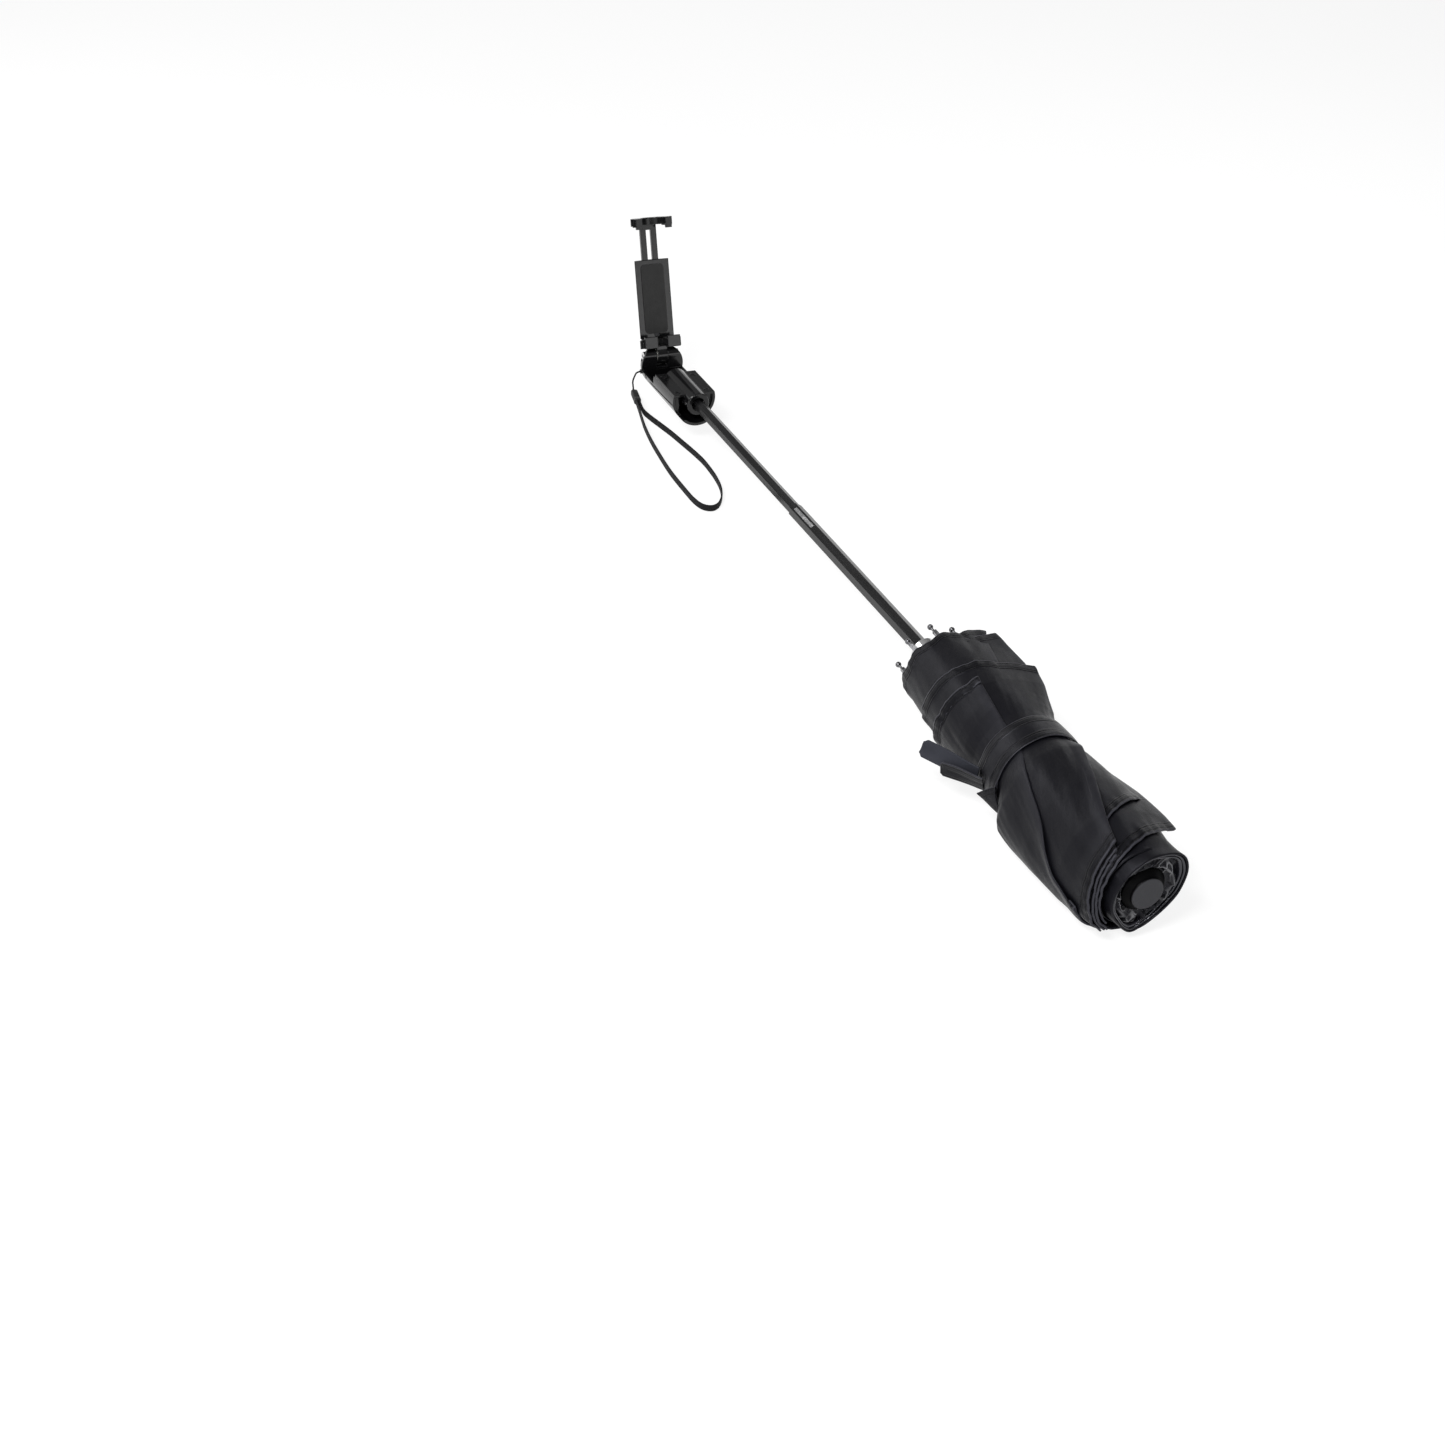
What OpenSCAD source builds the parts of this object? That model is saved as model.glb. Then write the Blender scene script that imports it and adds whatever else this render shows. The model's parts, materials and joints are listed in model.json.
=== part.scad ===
// A three-fold umbrella whose handle opens into a spring clamp. Rolled and strapped, the canopy is
// the grip, and the pulled-out shaft makes it a selfie stick. Millimetres.
// X runs along the shaft to the clamp, Y along the hinge pin, Z up. The origin is where the hand closes on the roll.

/* [Shaft] */
// Width across flats of the thinnest hexagonal tube, at the handle
inner_af = 7.0; // [6:0.1:7.4]
// Wall of every tube
tube_wall = 0.5; // [0.4:0.05:0.6]
// Slack on each side between one tube and the next
tube_gap = 0.1; // [0.06:0.01:0.15]
// Length of the top tube, which stays inside the canopy
top_tube_len = 222; // [214:1:226]
// Middle tube in view beyond the top tube
middle_shown = 187; // [120:1:200]
// Inner tube in view between the middle tube and the handle
inner_shown = 161.5; // [100:0.5:180]
// Length of tube that stays inside the next one when pulled out
overlap_len = 30; // [20:1:34]
// Length of the friction slot in the middle tube
slot_len = 26; // [16:1:34]
// Width of the friction slot
slot_w = 2.4; // [1.6:0.1:3]

/* [Handle] */
// Outer diameter of the handle and of both jaws
handle_d = 31.5; // [30:0.5:34]
// Wall of the handle's back shell
shell_wall = 2.0; // [1.4:0.1:2.4]
// Diameter of the central core that takes the shaft
core_d = 16.2; // [15:0.1:16.6]
// Bore at the open end of the core
core_bore_d = 9.4; // [9:0.1:11]
// Length of the two flat wings
wing_len = 36; // [30:1:44]
// How far the core stands out of the wings
core_out = 8; // [7.5:0.1:12]
// Free space between the head and the wings
groove_len = 24.3; // [16:0.1:30]
// Height of the wings' flat faces above the shaft axis
flat_z = 4.9; // [4:0.1:5.6]
// Thickness of the front plate
plate_t = 1.8; // [1.4:0.1:2.2]
// Diameter of the plate screws' heads
screw_head_d = 4.0; // [3.4:0.1:4.4]
// Diameter of the plate screws' shanks
screw_d = 2.2; // [1.8:0.1:2.4]

/* [Hinge] */
// Height of the hinge pin above the shaft axis
pin_z = 6; // [5.4:0.1:6.6]
// Diameter of the hinge screw
pin_d = 4; // [3:0.1:4.4]
// Diameter of the hinge screw's head and of its nut's head
pin_head_d = 6.6; // [5.8:0.1:7.2]
// Radius of the head's knuckle around the pin
knuckle_r = 5.2; // [4.8:0.1:5.6]
// Width of the clamp's tongue
tongue_w = 7.6; // [6:0.1:9]
// Thickness of the friction washers beside the tongue
washer_t = 0.42; // [0.3:0.02:0.8]
// Backward lean of the open clamp
clamp_lean = 19; // [0:1:40]

/* [Clamp] */
// Gap between the jaws' pads as shown
grip = 77.8; // [56:0.1:84]
// Depth of the jaws between their lips and the rest pad
slot_t = 8.2; // [7:0.1:8.6]
// Thickness of the jaws' hooked lips
lip_t = 2.3; // [1.6:0.1:2.8]
// How far the lips hook over
lip_drop = 1.6; // [1:0.1:1.8]
// Height of the lower jaw
lower_jaw_h = 5.7; // [4.5:0.1:7]
// Height of the upper jaw's ring
upper_jaw_h = 5; // [4:0.1:6]
// Inner radius of the upper jaw, which closes round the core
jaw_inner_r = 8.9; // [8.6:0.1:9.6]
// Thickness of the jaw pads
pad_t = 0.8; // [0.5:0.1:1.2]
// Thickness of the pad on the cover
rest_pad_t = 0.6; // [0.4:0.1:0.8]
// Thickness of the cover plate
cover_t = 1.4; // [1.2:0.1:1.6]
// Thickness of the sliding bar
bar_t = 2.7; // [2.2:0.1:2.8]
// Width of the sliding bar
bar_w = 11.9; // [9:0.1:12]
// Wire of the jaw spring
spring_wire = 0.45; // [0.3:0.05:0.6]

/* [Canopy] */
// Length of the rolled canopy with its end cap
roll_len = 223.5; // [220:0.5:228]
// Distance from the end cap's face to the grip, the origin
cap_to_grip = 121; // [110:1:130]
// Diameter of the end cap
cap_d = 18.5; // [16:0.5:22]
// Thickness of the end cap
cap_t = 6; // [4:0.5:8]
// Diameter of the cap's sloping skirt
skirt_d = 24; // [23:0.5:27]
// Radius of the free space inside the roll
roll_inner_r = 21.2; // [20.8:0.1:21.6]
// Number of ribs
rib_count = 8; // [6:1:8]
// Width and height of a rib
rib_w = 2.2; // [1.8:0.1:2.4]
// Width of the tie strap
tie_w = 20; // [14:1:24]
// Thickness of the tie strap and its tabs
tie_t = 1.0; // [0.8:0.1:1.4]
// Diameter of the balls on the rib tips
ball_d = 3.4; // [2.8:0.1:4]
// Outer diameter of the runner's bright collar
collar_d = 16.5; // [15.5:0.1:16.8]

/* [Wrist strap] */
// Diameter of the thin cord at the handle
cord_d = 1.2; // [1:0.1:1.4]
// Height of the flat webbing
webbing_w = 4.5; // [4:0.1:4.8]
// Thickness of the flat webbing
webbing_t = 1.2; // [0.8:0.1:1.4]
// Width of the flat sleeve that joins cord and webbing
sleeve_w = 5; // [4.4:0.1:5.6]
// Height of the sleeve
sleeve_h = 4.7; // [4.4:0.1:4.9]

/* [Hidden] */
$fn = 48;
// Room between pieces that move past each other
run_gap = 0.3;
// Room between a screw and its hole
screw_gap = 0.05;
// Room round the wrist cord in its lug
cord_gap = 0.15;
// Reach of a cut past the face that it opens
past = 1;

middle_af = inner_af + 2 * (tube_wall + tube_gap);
top_af = middle_af + 2 * (tube_wall + tube_gap);

// Stations along the shaft
cap_x = -cap_to_grip;
crown_x = cap_x + cap_t;
crown_t = 2;
notch_x = crown_x + crown_t;
notch_len = 10;
top_tube_x = crown_x + 1;
top_end_x = top_tube_x + top_tube_len;
step_x = top_end_x + middle_shown;
core_end_x = step_x + inner_shown;
wing_far = knuckle_r + groove_len;
wing_near = wing_far + wing_len;
core_reach = wing_near + core_out;
pin_x = core_end_x + core_reach;
mouth_x = cap_x + roll_len;

// Handle
handle_r = handle_d / 2;
core_r = core_d / 2;
plate_z = flat_z - plate_t;
socket_end = wing_far + 1;
boss_d = 4.8;
boss_y = core_r + 0.5 + boss_d / 2;
screw_xs = [wing_far + 6, wing_near - 4.5];
bulkhead_t = 1.8;
slot_half = tongue_w / 2 + washer_t + 0.03;
// How far the hinge screw's seats lie inside the handle's surface
lobe_sink = 4.55;
lobe_seat = handle_r - lobe_sink;
pin_head_t = 2;
barrel_d = pin_d + 1.2;
clip_d = 1.8;
sector_half = 48;
open_turn = 45;

// Clamp, measured from the pin: z along the clamp, x to its back
axis_x = -pin_z;
rest_x = core_r + 0.4 - pin_z;
lip_in_x = rest_x - slot_t;
lip_out_x = lip_in_x - lip_t;
cover_x = rest_x + rest_pad_t;
channel_x = cover_x + cover_t;
channel_t = bar_t + 0.3;
jaw_foot = knuckle_r + run_gap;
jaw_top = jaw_foot + lower_jaw_h;
grip_low = jaw_top + pad_t;
body_top = wing_near + 1;
upper_z = grip_low + grip + pad_t;
lip_y = handle_r - shell_wall - 0.55;
block_y = tongue_w / 2 + 0.1;
channel_foot = jaw_top + 6.3;
post_z = body_top - 6.5;
post_len = 3;
// Grip at which the sliding bar would meet the foot of its channel
shut_grip = 54;
bar_foot = grip + channel_foot - shut_grip;
spring_foot = post_z - 14;
spring_r = bar_t / 2 - spring_wire / 2 - 0.1;
spring_turns = 10;
window_half = 1.9;
rim_z = pin_z + lip_out_x - 0.5;

// Umbrella frame: each rib folds in three, between these points (along X, from the axis)
frame_near = top_end_x - 24;
rib_root = [notch_x + 7, 7.6];
rib_fold = [frame_near, 14];
rib_bend = [notch_x + 17, 17.6];
rib_tip = [mouth_x + 1.5, roll_inner_r - 1.6];
stretcher_root = [frame_near - 2, 8.8];
stretcher_at = 0.54;
// Turn of the first rib from the top to +Y
first_rib_turn = 9;
rivet_d = 1.2;
wire_d = 1.0;
runner_r = top_af / 2 / cos(30) + 1.8;
flange_r = 10.6;
tie_x = cap_x + 0.465 * roll_len;
tie_inner_r = 26;
floor_z = -28.5;

// Wrist strap, laid on the floor beside the handle, with X measured from the pin
lug_back = 4.5;
lug_drop = 3.2;
lug_d = 3.2;
lug_reach = 1.2;
lug_at = [-lug_back, sqrt(handle_r * handle_r - lug_drop * lug_drop) - 0.16, -lug_drop];
cord_route = [lug_at, lug_at + [0, lug_reach + 0.1, 0], [-4, 18.3, -3.8], [-2.8, 19, -5.1], [0.4, 18.8, -8.8],
    [4.2, 18.2, -13], [8, 17, -17], [12, 15.3, -20.4], [15.2, 13.9, -22.1], [16.6, 13.3, -23.6],
    [16.2, 13.2, -25.1], [14.7, 13.7, -26], [12.9, 14.3, -26]];
sleeve_from = [12.9, 14.3, -26];
sleeve_to = [-5.74, 17.96, -26];
webbing_route = [[-5.84, 19, -26], [-14, 20.8, -26], [-23, 22.9, -26], [-36, 26, -26], [-48, 28.6, -26],
    [-66, 31.6, -26], [-85, 33.9, -26], [-116, 36.7, -26], [-145, 37.2, -26], [-160, 36.8, -26],
    [-169, 34.6, -26], [-172.6, 29.8, -26], [-170.6, 24.6, -26], [-164.5, 19.8, -26], [-157, 16, -26],
    [-148, 13, -26], [-138, 11, -26], [-125, 9.6, -26], [-108, 9, -26], [-92, 10.2, -26], [-77, 12, -26],
    [-61, 14, -26], [-46, 16.6, -26], [-33, 18.9, -26], [-23, 19.9, -26], [-14, 18.6, -26],
    [-6.22, 17.04, -26]];

// Which sub-part to draw

// Shared forms

module rod_x(x0, x1, d) {
    translate([x0, 0, 0]) rotate([0, 90, 0]) cylinder(d = d, h = x1 - x0);
}

module hex_x(x0, x1, af) {
    translate([x0, 0, 0]) rotate([0, 90, 0]) cylinder(d = af / cos(30), h = x1 - x0, $fn = 6);
}

module hex_tube(x0, x1, af) {
    difference() {
        hex_x(x0, x1, af);
        hex_x(x0 - past, x1 + past, af - 2 * tube_wall);
    }
}

module revolve_x() {
    rotate([0, 90, 0]) rotate_extrude() children();
}

module rod_y(y0, y1, d) {
    translate([0, y0, 0]) rotate([-90, 0, 0]) cylinder(d = d, h = y1 - y0);
}

// Handle pieces are drawn from the pin's station, and the clamp from the pin itself
module at_handle() {
    translate([pin_x, 0, 0]) children();
}

module at_clamp() {
    translate([pin_x, 0, pin_z]) rotate([0, clamp_lean, 0]) children();
}

module both_sides() {
    children();
    mirror([0, 1, 0]) children();
}

module box(x0, x1, y0, y1, z0, z1) {
    translate([x0, y0, z0]) cube([x1 - x0, y1 - y0, z1 - z0]);
}

// Swept tubes: a spline through the route's points, with one ring of section points at each step

function unit(v) = v / norm(v);
function clip_at(list, i) = list[max(0, min(len(list) - 1, i))];
function spline(a, b, c, d, t) =
    0.5 * (2 * b + (c - a) * t + (2 * a - 5 * b + 4 * c - d) * t * t + (3 * b - a - 3 * c + d) * t * t * t);
function smooth_route(route, steps) = [
    for (i = [0 : len(route) - 2], s = [0 : steps - 1])
        spline(clip_at(route, i - 1), route[i], route[i + 1], clip_at(route, i + 2), s / steps),
    route[len(route) - 1]
];
function heading(path, i) = unit(clip_at(path, i + 1) - clip_at(path, i - 1));
function ring_point(path, i, q, top) =
    let (t = heading(path, i), s = unit(cross(t, top)), u = cross(s, t)) path[i] + s * q[0] + u * q[1];

// The section's second axis leans to top, which the route never runs along
module sweep(path, section, top) {
    n = len(section);
    points = [for (i = [0 : len(path) - 1], q = section) ring_point(path, i, q, top)];
    last = (len(path) - 1) * n;
    sides = [for (i = [0 : len(path) - 2], k = [0 : n - 1])
        let (a = i * n + k, b = i * n + (k + 1) % n) each [[a, b, b + n], [a, b + n, a + n]]];
    caps = [for (k = [1 : n - 2]) each [[0, k + 1, k], [last, last + k, last + k + 1]]];
    polyhedron(points = points, faces = concat(sides, caps));
}

function oval(w, h, n) = [for (k = [0 : n - 1]) [w / 2 * cos(360 * (k + 0.5) / n), h / 2 * sin(360 * (k + 0.5) / n)]];

// Umbrella frame

module around_ribs() {
    for (k = [0 : rib_count - 1]) rotate([360 / rib_count * k - first_rib_turn, 0, 0]) children();
}

// A channel bar from one point to another in the plane of a rib, beside that plane
module rib_bar(from, to, side) {
    run = norm(to - from);
    rise = atan2(to[1] - from[1], to[0] - from[0]);
    translate([from[0], side < 0 ? -rib_w : 0, from[1]]) rotate([0, -rise, 0])
        difference() {
            translate([-rib_w / 2, 0, -rib_w / 2]) cube([run + rib_w, rib_w, rib_w]);
            translate([rib_w, rib_w / 4, -rib_w / 2 - past]) cube([run - 2 * rib_w, rib_w / 2, rib_w / 2 + past]);
            rod_y(-past, rib_w + past, rivet_d + 2 * screw_gap);
            translate([run, 0, 0]) rod_y(-past, rib_w + past, rivet_d + 2 * screw_gap);
        }
}

function along(from, to, t) = from + (to - from) * t;
stretcher_end = along(rib_root, rib_fold, stretcher_at);

module ring_wire(x, r, d) {
    translate([x, 0, 0]) revolve_x() translate([r, 0]) circle(d = d);
}

module rib_slots(x, from_r, side) {
    around_ribs() box(x - 20, x + 20, side < 0 ? -rib_w - screw_gap : -screw_gap,
        side < 0 ? screw_gap : rib_w + screw_gap, from_r, 30);
}

module ferrule_cap() {
    edge = 1.2;
    skirt_back = crown_x - 2 * run_gap;
    color("black") {
        revolve_x() {
            polygon([[0, cap_x + edge + 0.4], [cap_d / 2, cap_x + edge + 0.4], [skirt_d / 2, skirt_back - 1],
                [skirt_d / 2, skirt_back], [0, skirt_back]]);
            translate([0, cap_x + edge]) square([cap_d / 2, cap_t - edge]);
            translate([0, cap_x]) square([cap_d / 2 - edge, edge]);
            translate([cap_d / 2 - edge, cap_x + edge]) circle(r = edge);
        }
        rod_x(crown_x, crown_x + 9, top_af - 2 * tube_wall - 0.1);
    }
}

module top_notch() {
    color("dimgray") difference() {
        rod_x(notch_x, notch_x + notch_len, 2 * (rib_root[1] + 1.9));
        hex_x(notch_x - past, notch_x + notch_len + past, top_af);
        rib_slots(rib_root[0] + 20 - rib_w - 0.6, rib_root[1] - rib_w / 2 - 0.6, -1);
        ring_wire(rib_root[0], rib_root[1], wire_d);
    }
}

module notch_wire() {
    color("silver") ring_wire(rib_root[0], rib_root[1], wire_d);
}

module top_tube() {
    color("black") hex_tube(top_tube_x, top_end_x, top_af);
}

module runner() {
    flange = [stretcher_root[0] - 3, stretcher_root[0] + 3];
    color("dimgray") difference() {
        union() {
            rod_x(flange[0] - 4, top_end_x + 2, 2 * runner_r);
            rod_x(flange[0], flange[1], 2 * flange_r);
        }
        hex_x(flange[0] - 6, top_end_x + 4, top_af + 0.1);
        rib_slots(stretcher_root[0] + rib_w / 2 + 0.6 - 20, stretcher_root[1] - rib_w / 2 - 0.4, 1);
        ring_wire(stretcher_root[0], stretcher_root[1], wire_d);
    }
}

module runner_collar() {
    front = top_end_x + 9;
    lip = middle_af / 2 / cos(30) + 1.5;
    color("silver") revolve_x() difference() {
        union() {
            translate([0, frame_near + 12]) square([collar_d / 2, front - frame_near - 13]);
            translate([0, front - past]) square([collar_d / 2 - 1, past]);
            translate([collar_d / 2 - 1, front - 1]) circle(r = 1);
        }
        translate([0, frame_near + 10]) square([runner_r, top_end_x + 2 - frame_near - 10]);
        translate([0, frame_near]) square([lip, front - frame_near + past]);
    }
}

module runner_wire() {
    color("silver") ring_wire(stretcher_root[0], stretcher_root[1], wire_d);
}

module stretchers() {
    color("gray") difference() {
        around_ribs() rib_bar(stretcher_root, stretcher_end, 1);
        ring_wire(stretcher_root[0], stretcher_root[1], wire_d);
    }
}

module top_ribs() {
    color("gray") difference() {
        around_ribs() rib_bar(rib_root, rib_fold, -1);
        ring_wire(rib_root[0], rib_root[1], wire_d);
        around_ribs() translate([stretcher_end[0], 0, stretcher_end[1]])
            rod_y(-rib_w - past, past, rivet_d + 2 * screw_gap);
    }
}

module middle_ribs() {
    color("gray") around_ribs() rib_bar(rib_bend, rib_fold, 1);
}

module tip_ribs() {
    color("gray") around_ribs() rib_bar(rib_bend, rib_tip, -1);
}

module rivet(at) {
    head_d = rivet_d + 0.9;
    head_t = 0.5;
    translate([at[0], 0, at[1]]) {
        rod_y(-rib_w, rib_w, rivet_d);
        rod_y(-rib_w - head_t, -rib_w, head_d);
        rod_y(rib_w, rib_w + head_t, head_d);
    }
}

module rib_rivets() {
    color("silver") around_ribs() {
        rivet(rib_fold);
        rivet(rib_bend);
        rivet(stretcher_end);
    }
}

module rib_tip_balls() {
    color("silver") around_ribs() translate([rib_tip[0] + rib_w / 2, -rib_w / 2, rib_tip[1]]) {
        rotate([0, 90, 0]) cylinder(d = 1.5, h = 3.4);
        translate([3.4 + ball_d / 2 - 0.3, 0, 0]) sphere(d = ball_d);
    }
}

// Rolled canopy: overlapping folds of cloth, drawn in under the tie strap and loose at both sides of it

roll_sides = 40;
// Outer radius at shares of the roll's length, from the cap to the mouth
roll_shape = [[0.033, 25], [0.065, 26], [0.15, 27.4], [0.27, 27.4], [0.41, 26.2], [0.465, 24.4], [0.585, 24.4],
    [0.65, 25.8], [0.71, 26.8], [0.81, 26.6], [0.92, 24.6], [1, 22.4]];
// Height of the steps where one fold laps over the next
fold_step = [[0.033, 0.8], [0.13, 2.4], [0.35, 1.8], [0.465, 0.8], [0.585, 0.8], [0.72, 1.6], [0.92, 1.2], [1, 0.4]];
// Loose corners of cloth: share of the length, turn from the top to +Y, spread of each, height
loose_corners = [[0.78, -57, 0.16, 26, 11.5], [0.98, -57, 0.08, 22, 7.5], [0.14, -57, 0.055, 20, 5],
    [0.24, -57, 0.09, 22, 2.5], [0.27, 123, 0.21, 30, 6.8], [0.07, 123, 0.06, 30, 3]];
// How far the hem draws back between two rib tips
hem_dip = 4;

function turn_between(a, b) = abs(((a - b) % 360 + 540) % 360 - 180);
function tied_in(x) = max(0, min(1, max(tie_x - x, x - tie_x - tie_w) / 8 - 0.1));
function looseness(s, a) = [for (c = loose_corners)
    c[4] * exp(-pow((s - c[0]) / c[2], 2) - pow(turn_between(a, c[1]) / c[3], 2))] * [for (c = loose_corners) 1];
function fold_turn(s) = s < 0.53 ? 75 * (0.53 - s) : 15 * (0.53 - s);
function fold_rise(k) = (k % 5) / 4;
function hem_x(a) = -hem_dip * (0.5 - 0.5 * cos(rib_count * (a - first_rib_turn)));
function roll_point(s, k) =
    let (a = 360 / roll_sides * k + fold_turn(s), x = cap_x + s * roll_len,
        r = lookup(s, roll_shape) + lookup(s, fold_step) * fold_rise(k) + looseness(s, a) * tied_in(x))
    [x + (s > 0.95 ? hem_x(a) : 0), r * sin(a), max(floor_z, r * cos(a))];
function plain_point(x, r, k, hem) =
    let (a = 360 / roll_sides * k + (hem ? fold_turn(1) : 0)) [x + (hem ? hem_x(a) : 0), r * sin(a), r * cos(a)];

module canopy_roll() {
    outside = [0.033, 0.06, 0.1, 0.14, 0.19, 0.25, 0.31, 0.37, 0.425, 0.465, 0.51, 0.555, 0.6, 0.65, 0.71, 0.77,
        0.83, 0.89, 0.94, 0.993];
    crown_hole = top_af / 2 / cos(30) + 0.4;
    inside = [[mouth_x - 2, roll_inner_r], [notch_x + 5, roll_inner_r - 0.7], [notch_x, roll_inner_r - 4],
        [notch_x, crown_hole], [crown_x, crown_hole], [crown_x, cap_d / 2 + 1], [crown_x - 0.5, 16],
        [crown_x - 2, 22.5]];
    rings = [
        for (s = outside) [for (k = [0 : roll_sides - 1]) roll_point(s, k)],
        for (q = inside) [for (k = [0 : roll_sides - 1]) plain_point(q[0], q[1], k, q == inside[0])]
    ];
    n = len(rings);
    faces = [for (i = [0 : n - 1], k = [0 : roll_sides - 1])
        let (j = (i + 1) % n, m = (k + 1) % roll_sides,
            a = i * roll_sides + k, b = i * roll_sides + m, c = j * roll_sides + m, d = j * roll_sides + k)
        each [[a, b, c], [a, c, d]]];
    color("darkslategray") polyhedron(points = [for (ring = rings) each ring], faces = faces);
}

module tie_strap() {
    color("black") difference() {
        rod_x(tie_x, tie_x + tie_w, 2 * (tie_inner_r + tie_t));
        rod_x(tie_x - past, tie_x + tie_w + past, 2 * tie_inner_r);
    }
}

// One free end of the tie strap: a strip on edge, from its root on the strap out towards the mouth
module tie_tab(at_x, root_turn, run, wide, lean) {
    root_r = tie_inner_r + tie_t + run_gap + tie_t / 2;
    long = norm(run);
    cut = wide / 6;
    translate([at_x, root_r * sin(root_turn), root_r * cos(root_turn)])
        rotate([0, -asin(run[2] / long), atan2(run[1], run[0])]) rotate([-lean, 0, 0])
            translate([0, 0, -tie_t / 2]) linear_extrude(height = tie_t)
                polygon([[0, -wide / 2], [long - cut, -wide / 2], [long, cut - wide / 2],
                    [long, wide / 2 - cut], [long - cut, wide / 2], [0, wide / 2]]);
}

module tie_tabs() {
    color("black") {
        tie_tab(tie_x + tie_w * 0.86, 97, [29.6, 18.4, 2.4], 10, 97);
        tie_tab(tie_x + tie_w * 0.6, 103, [21, 14.4, -0.3], 8, 112);
    }
}

// Middle and inner tubes

slot_face_turn = 30;
slot_from = step_x - 4 - slot_len;

module on_slot_face() {
    rotate([-slot_face_turn, 0, 0]) translate([slot_from, 0, middle_af / 2 - tube_wall]) children();
}

module middle_tube() {
    color("black") difference() {
        hex_tube(top_end_x - overlap_len, step_x, middle_af);
        on_slot_face() translate([0, -slot_w / 2, -tube_gap]) cube([slot_len, slot_w, tube_wall + past]);
    }
}

module tube_leaf() {
    slack = 0.1;
    color("gray") on_slot_face() translate([slack, slack - slot_w / 2, slack])
        cube([slot_len - 2 * slack, slot_w - 2 * slack, tube_wall - 2 * slack]);
}

module inner_tube() {
    color("black") difference() {
        hex_tube(step_x - overlap_len, pin_x - socket_end, inner_af);
        at_handle() translate([-core_reach + 4, 0, 0]) rod_y(-handle_r, handle_r, clip_d + 2 * screw_gap);
    }
}

// Handle

module handle_front() {
    lip = 1.0;
    color("black") at_handle() difference() {
        union() {
            revolve_x() {
                translate([0, lip - core_reach]) square([core_r, core_reach - lip - wing_far]);
                translate([0, -core_reach]) square([core_r - lip, lip]);
                translate([core_r - lip, lip - core_reach]) circle(r = lip);
            }
            intersection() {
                rod_x(-wing_near, -wing_far, handle_d);
                box(-wing_near, -wing_far, -handle_r, handle_r, plate_z, flat_z);
            }
        }
        rod_x(-core_reach - past, -wing_near + 4, core_bore_d);
        hex_x(-wing_near, -socket_end, inner_af + 0.04);
        translate([-core_reach + 4, 0, 0]) rod_y(-handle_r, handle_r, clip_d);
        for (x = screw_xs) both_sides() translate([-x, boss_y, 0]) {
            translate([0, 0, plate_z - past]) cylinder(d = screw_d + 2 * screw_gap, h = plate_t + 2 * past);
            translate([0, 0, flat_z - 1]) cylinder(d = screw_head_d + 0.4, h = 2);
        }
    }
}

// Side profile of the back: sector beside the core, wings, open groove, then the head with a flat wall to the
// shaft, a knuckle round the pin and a stop for the open clamp
module back_profile() {
    inset = knuckle_r - 0.06;
    stop = [cos(90 - clamp_lean - open_turn), sin(90 - clamp_lean - open_turn)];
    stop_at = [0, pin_z] + inset * stop;
    low = stop_at + 2 * handle_r * [stop[1], -stop[0]];
    sector_z = -handle_r * cos(sector_half);
    polygon([[-core_reach, -handle_d], [low[0], -handle_d], low, stop_at, [0, pin_z], [-inset, pin_z],
        [-inset, rim_z], [bulkhead_t - wing_far, rim_z], [bulkhead_t - wing_far, plate_z],
        [-wing_near, plate_z], [-wing_near, sector_z], [-core_reach, sector_z]]);
    translate([0, pin_z]) circle(r = knuckle_r);
}

// Outer form of the handle: a cylinder with a domed head
module handle_form() {
    revolve_x() {
        translate([0, -core_reach]) square([handle_r, core_reach - knuckle_r]);
        intersection() {
            translate([0, -knuckle_r]) circle(r = handle_r);
            translate([0, -knuckle_r]) square([handle_r, handle_r + past]);
        }
    }
}

module handle_back() {
    tongue_r = knuckle_r + 1.4;
    color("black") at_handle() difference() {
        union() {
            difference() {
                intersection() {
                    handle_form();
                    rotate([90, 0, 0]) linear_extrude(height = 2 * handle_d, center = true) back_profile();
                }
                rod_x(-core_reach - past, -wing_far, handle_d - 2 * shell_wall);
                rod_x(bulkhead_t - wing_far, -knuckle_r, handle_d - 2 * shell_wall);
            }
            // Screw bosses, joined to the shell
            intersection() {
                rod_x(-wing_near, -wing_far, handle_d - shell_wall);
                for (x = screw_xs) both_sides() translate([-x, boss_y, -handle_r]) {
                    cylinder(d = boss_d, h = handle_r + plate_z);
                    translate([-boss_d / 2, 0, 0]) cube([boss_d, handle_r, handle_r + plate_z]);
                }
            }
            // Lug for the wrist cord
            translate(lug_at) rod_y(-1, lug_reach, lug_d);
        }
        // Slot for the clamp's tongue
        translate([-knuckle_r - past, -slot_half, pin_z - tongue_r - 0.3])
            cube([knuckle_r + past + handle_r, 2 * slot_half, handle_r]);
        // Pin holes and head recesses
        translate([0, 0, pin_z]) {
            rod_y(0, handle_r, pin_d + 2 * screw_gap);
            rod_y(-handle_r, 0, barrel_d + 2 * screw_gap);
            rod_y(lobe_seat, handle_r, pin_head_d + 0.6);
            rod_y(-handle_r, -lobe_seat, pin_head_d + 0.6);
        }
        for (x = screw_xs) both_sides() translate([-x, boss_y, plate_z - 8]) cylinder(d = screw_d, h = 9);
        translate(lug_at) rod_y(0, lug_reach + past, cord_d + 2 * cord_gap);
    }
}

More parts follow.
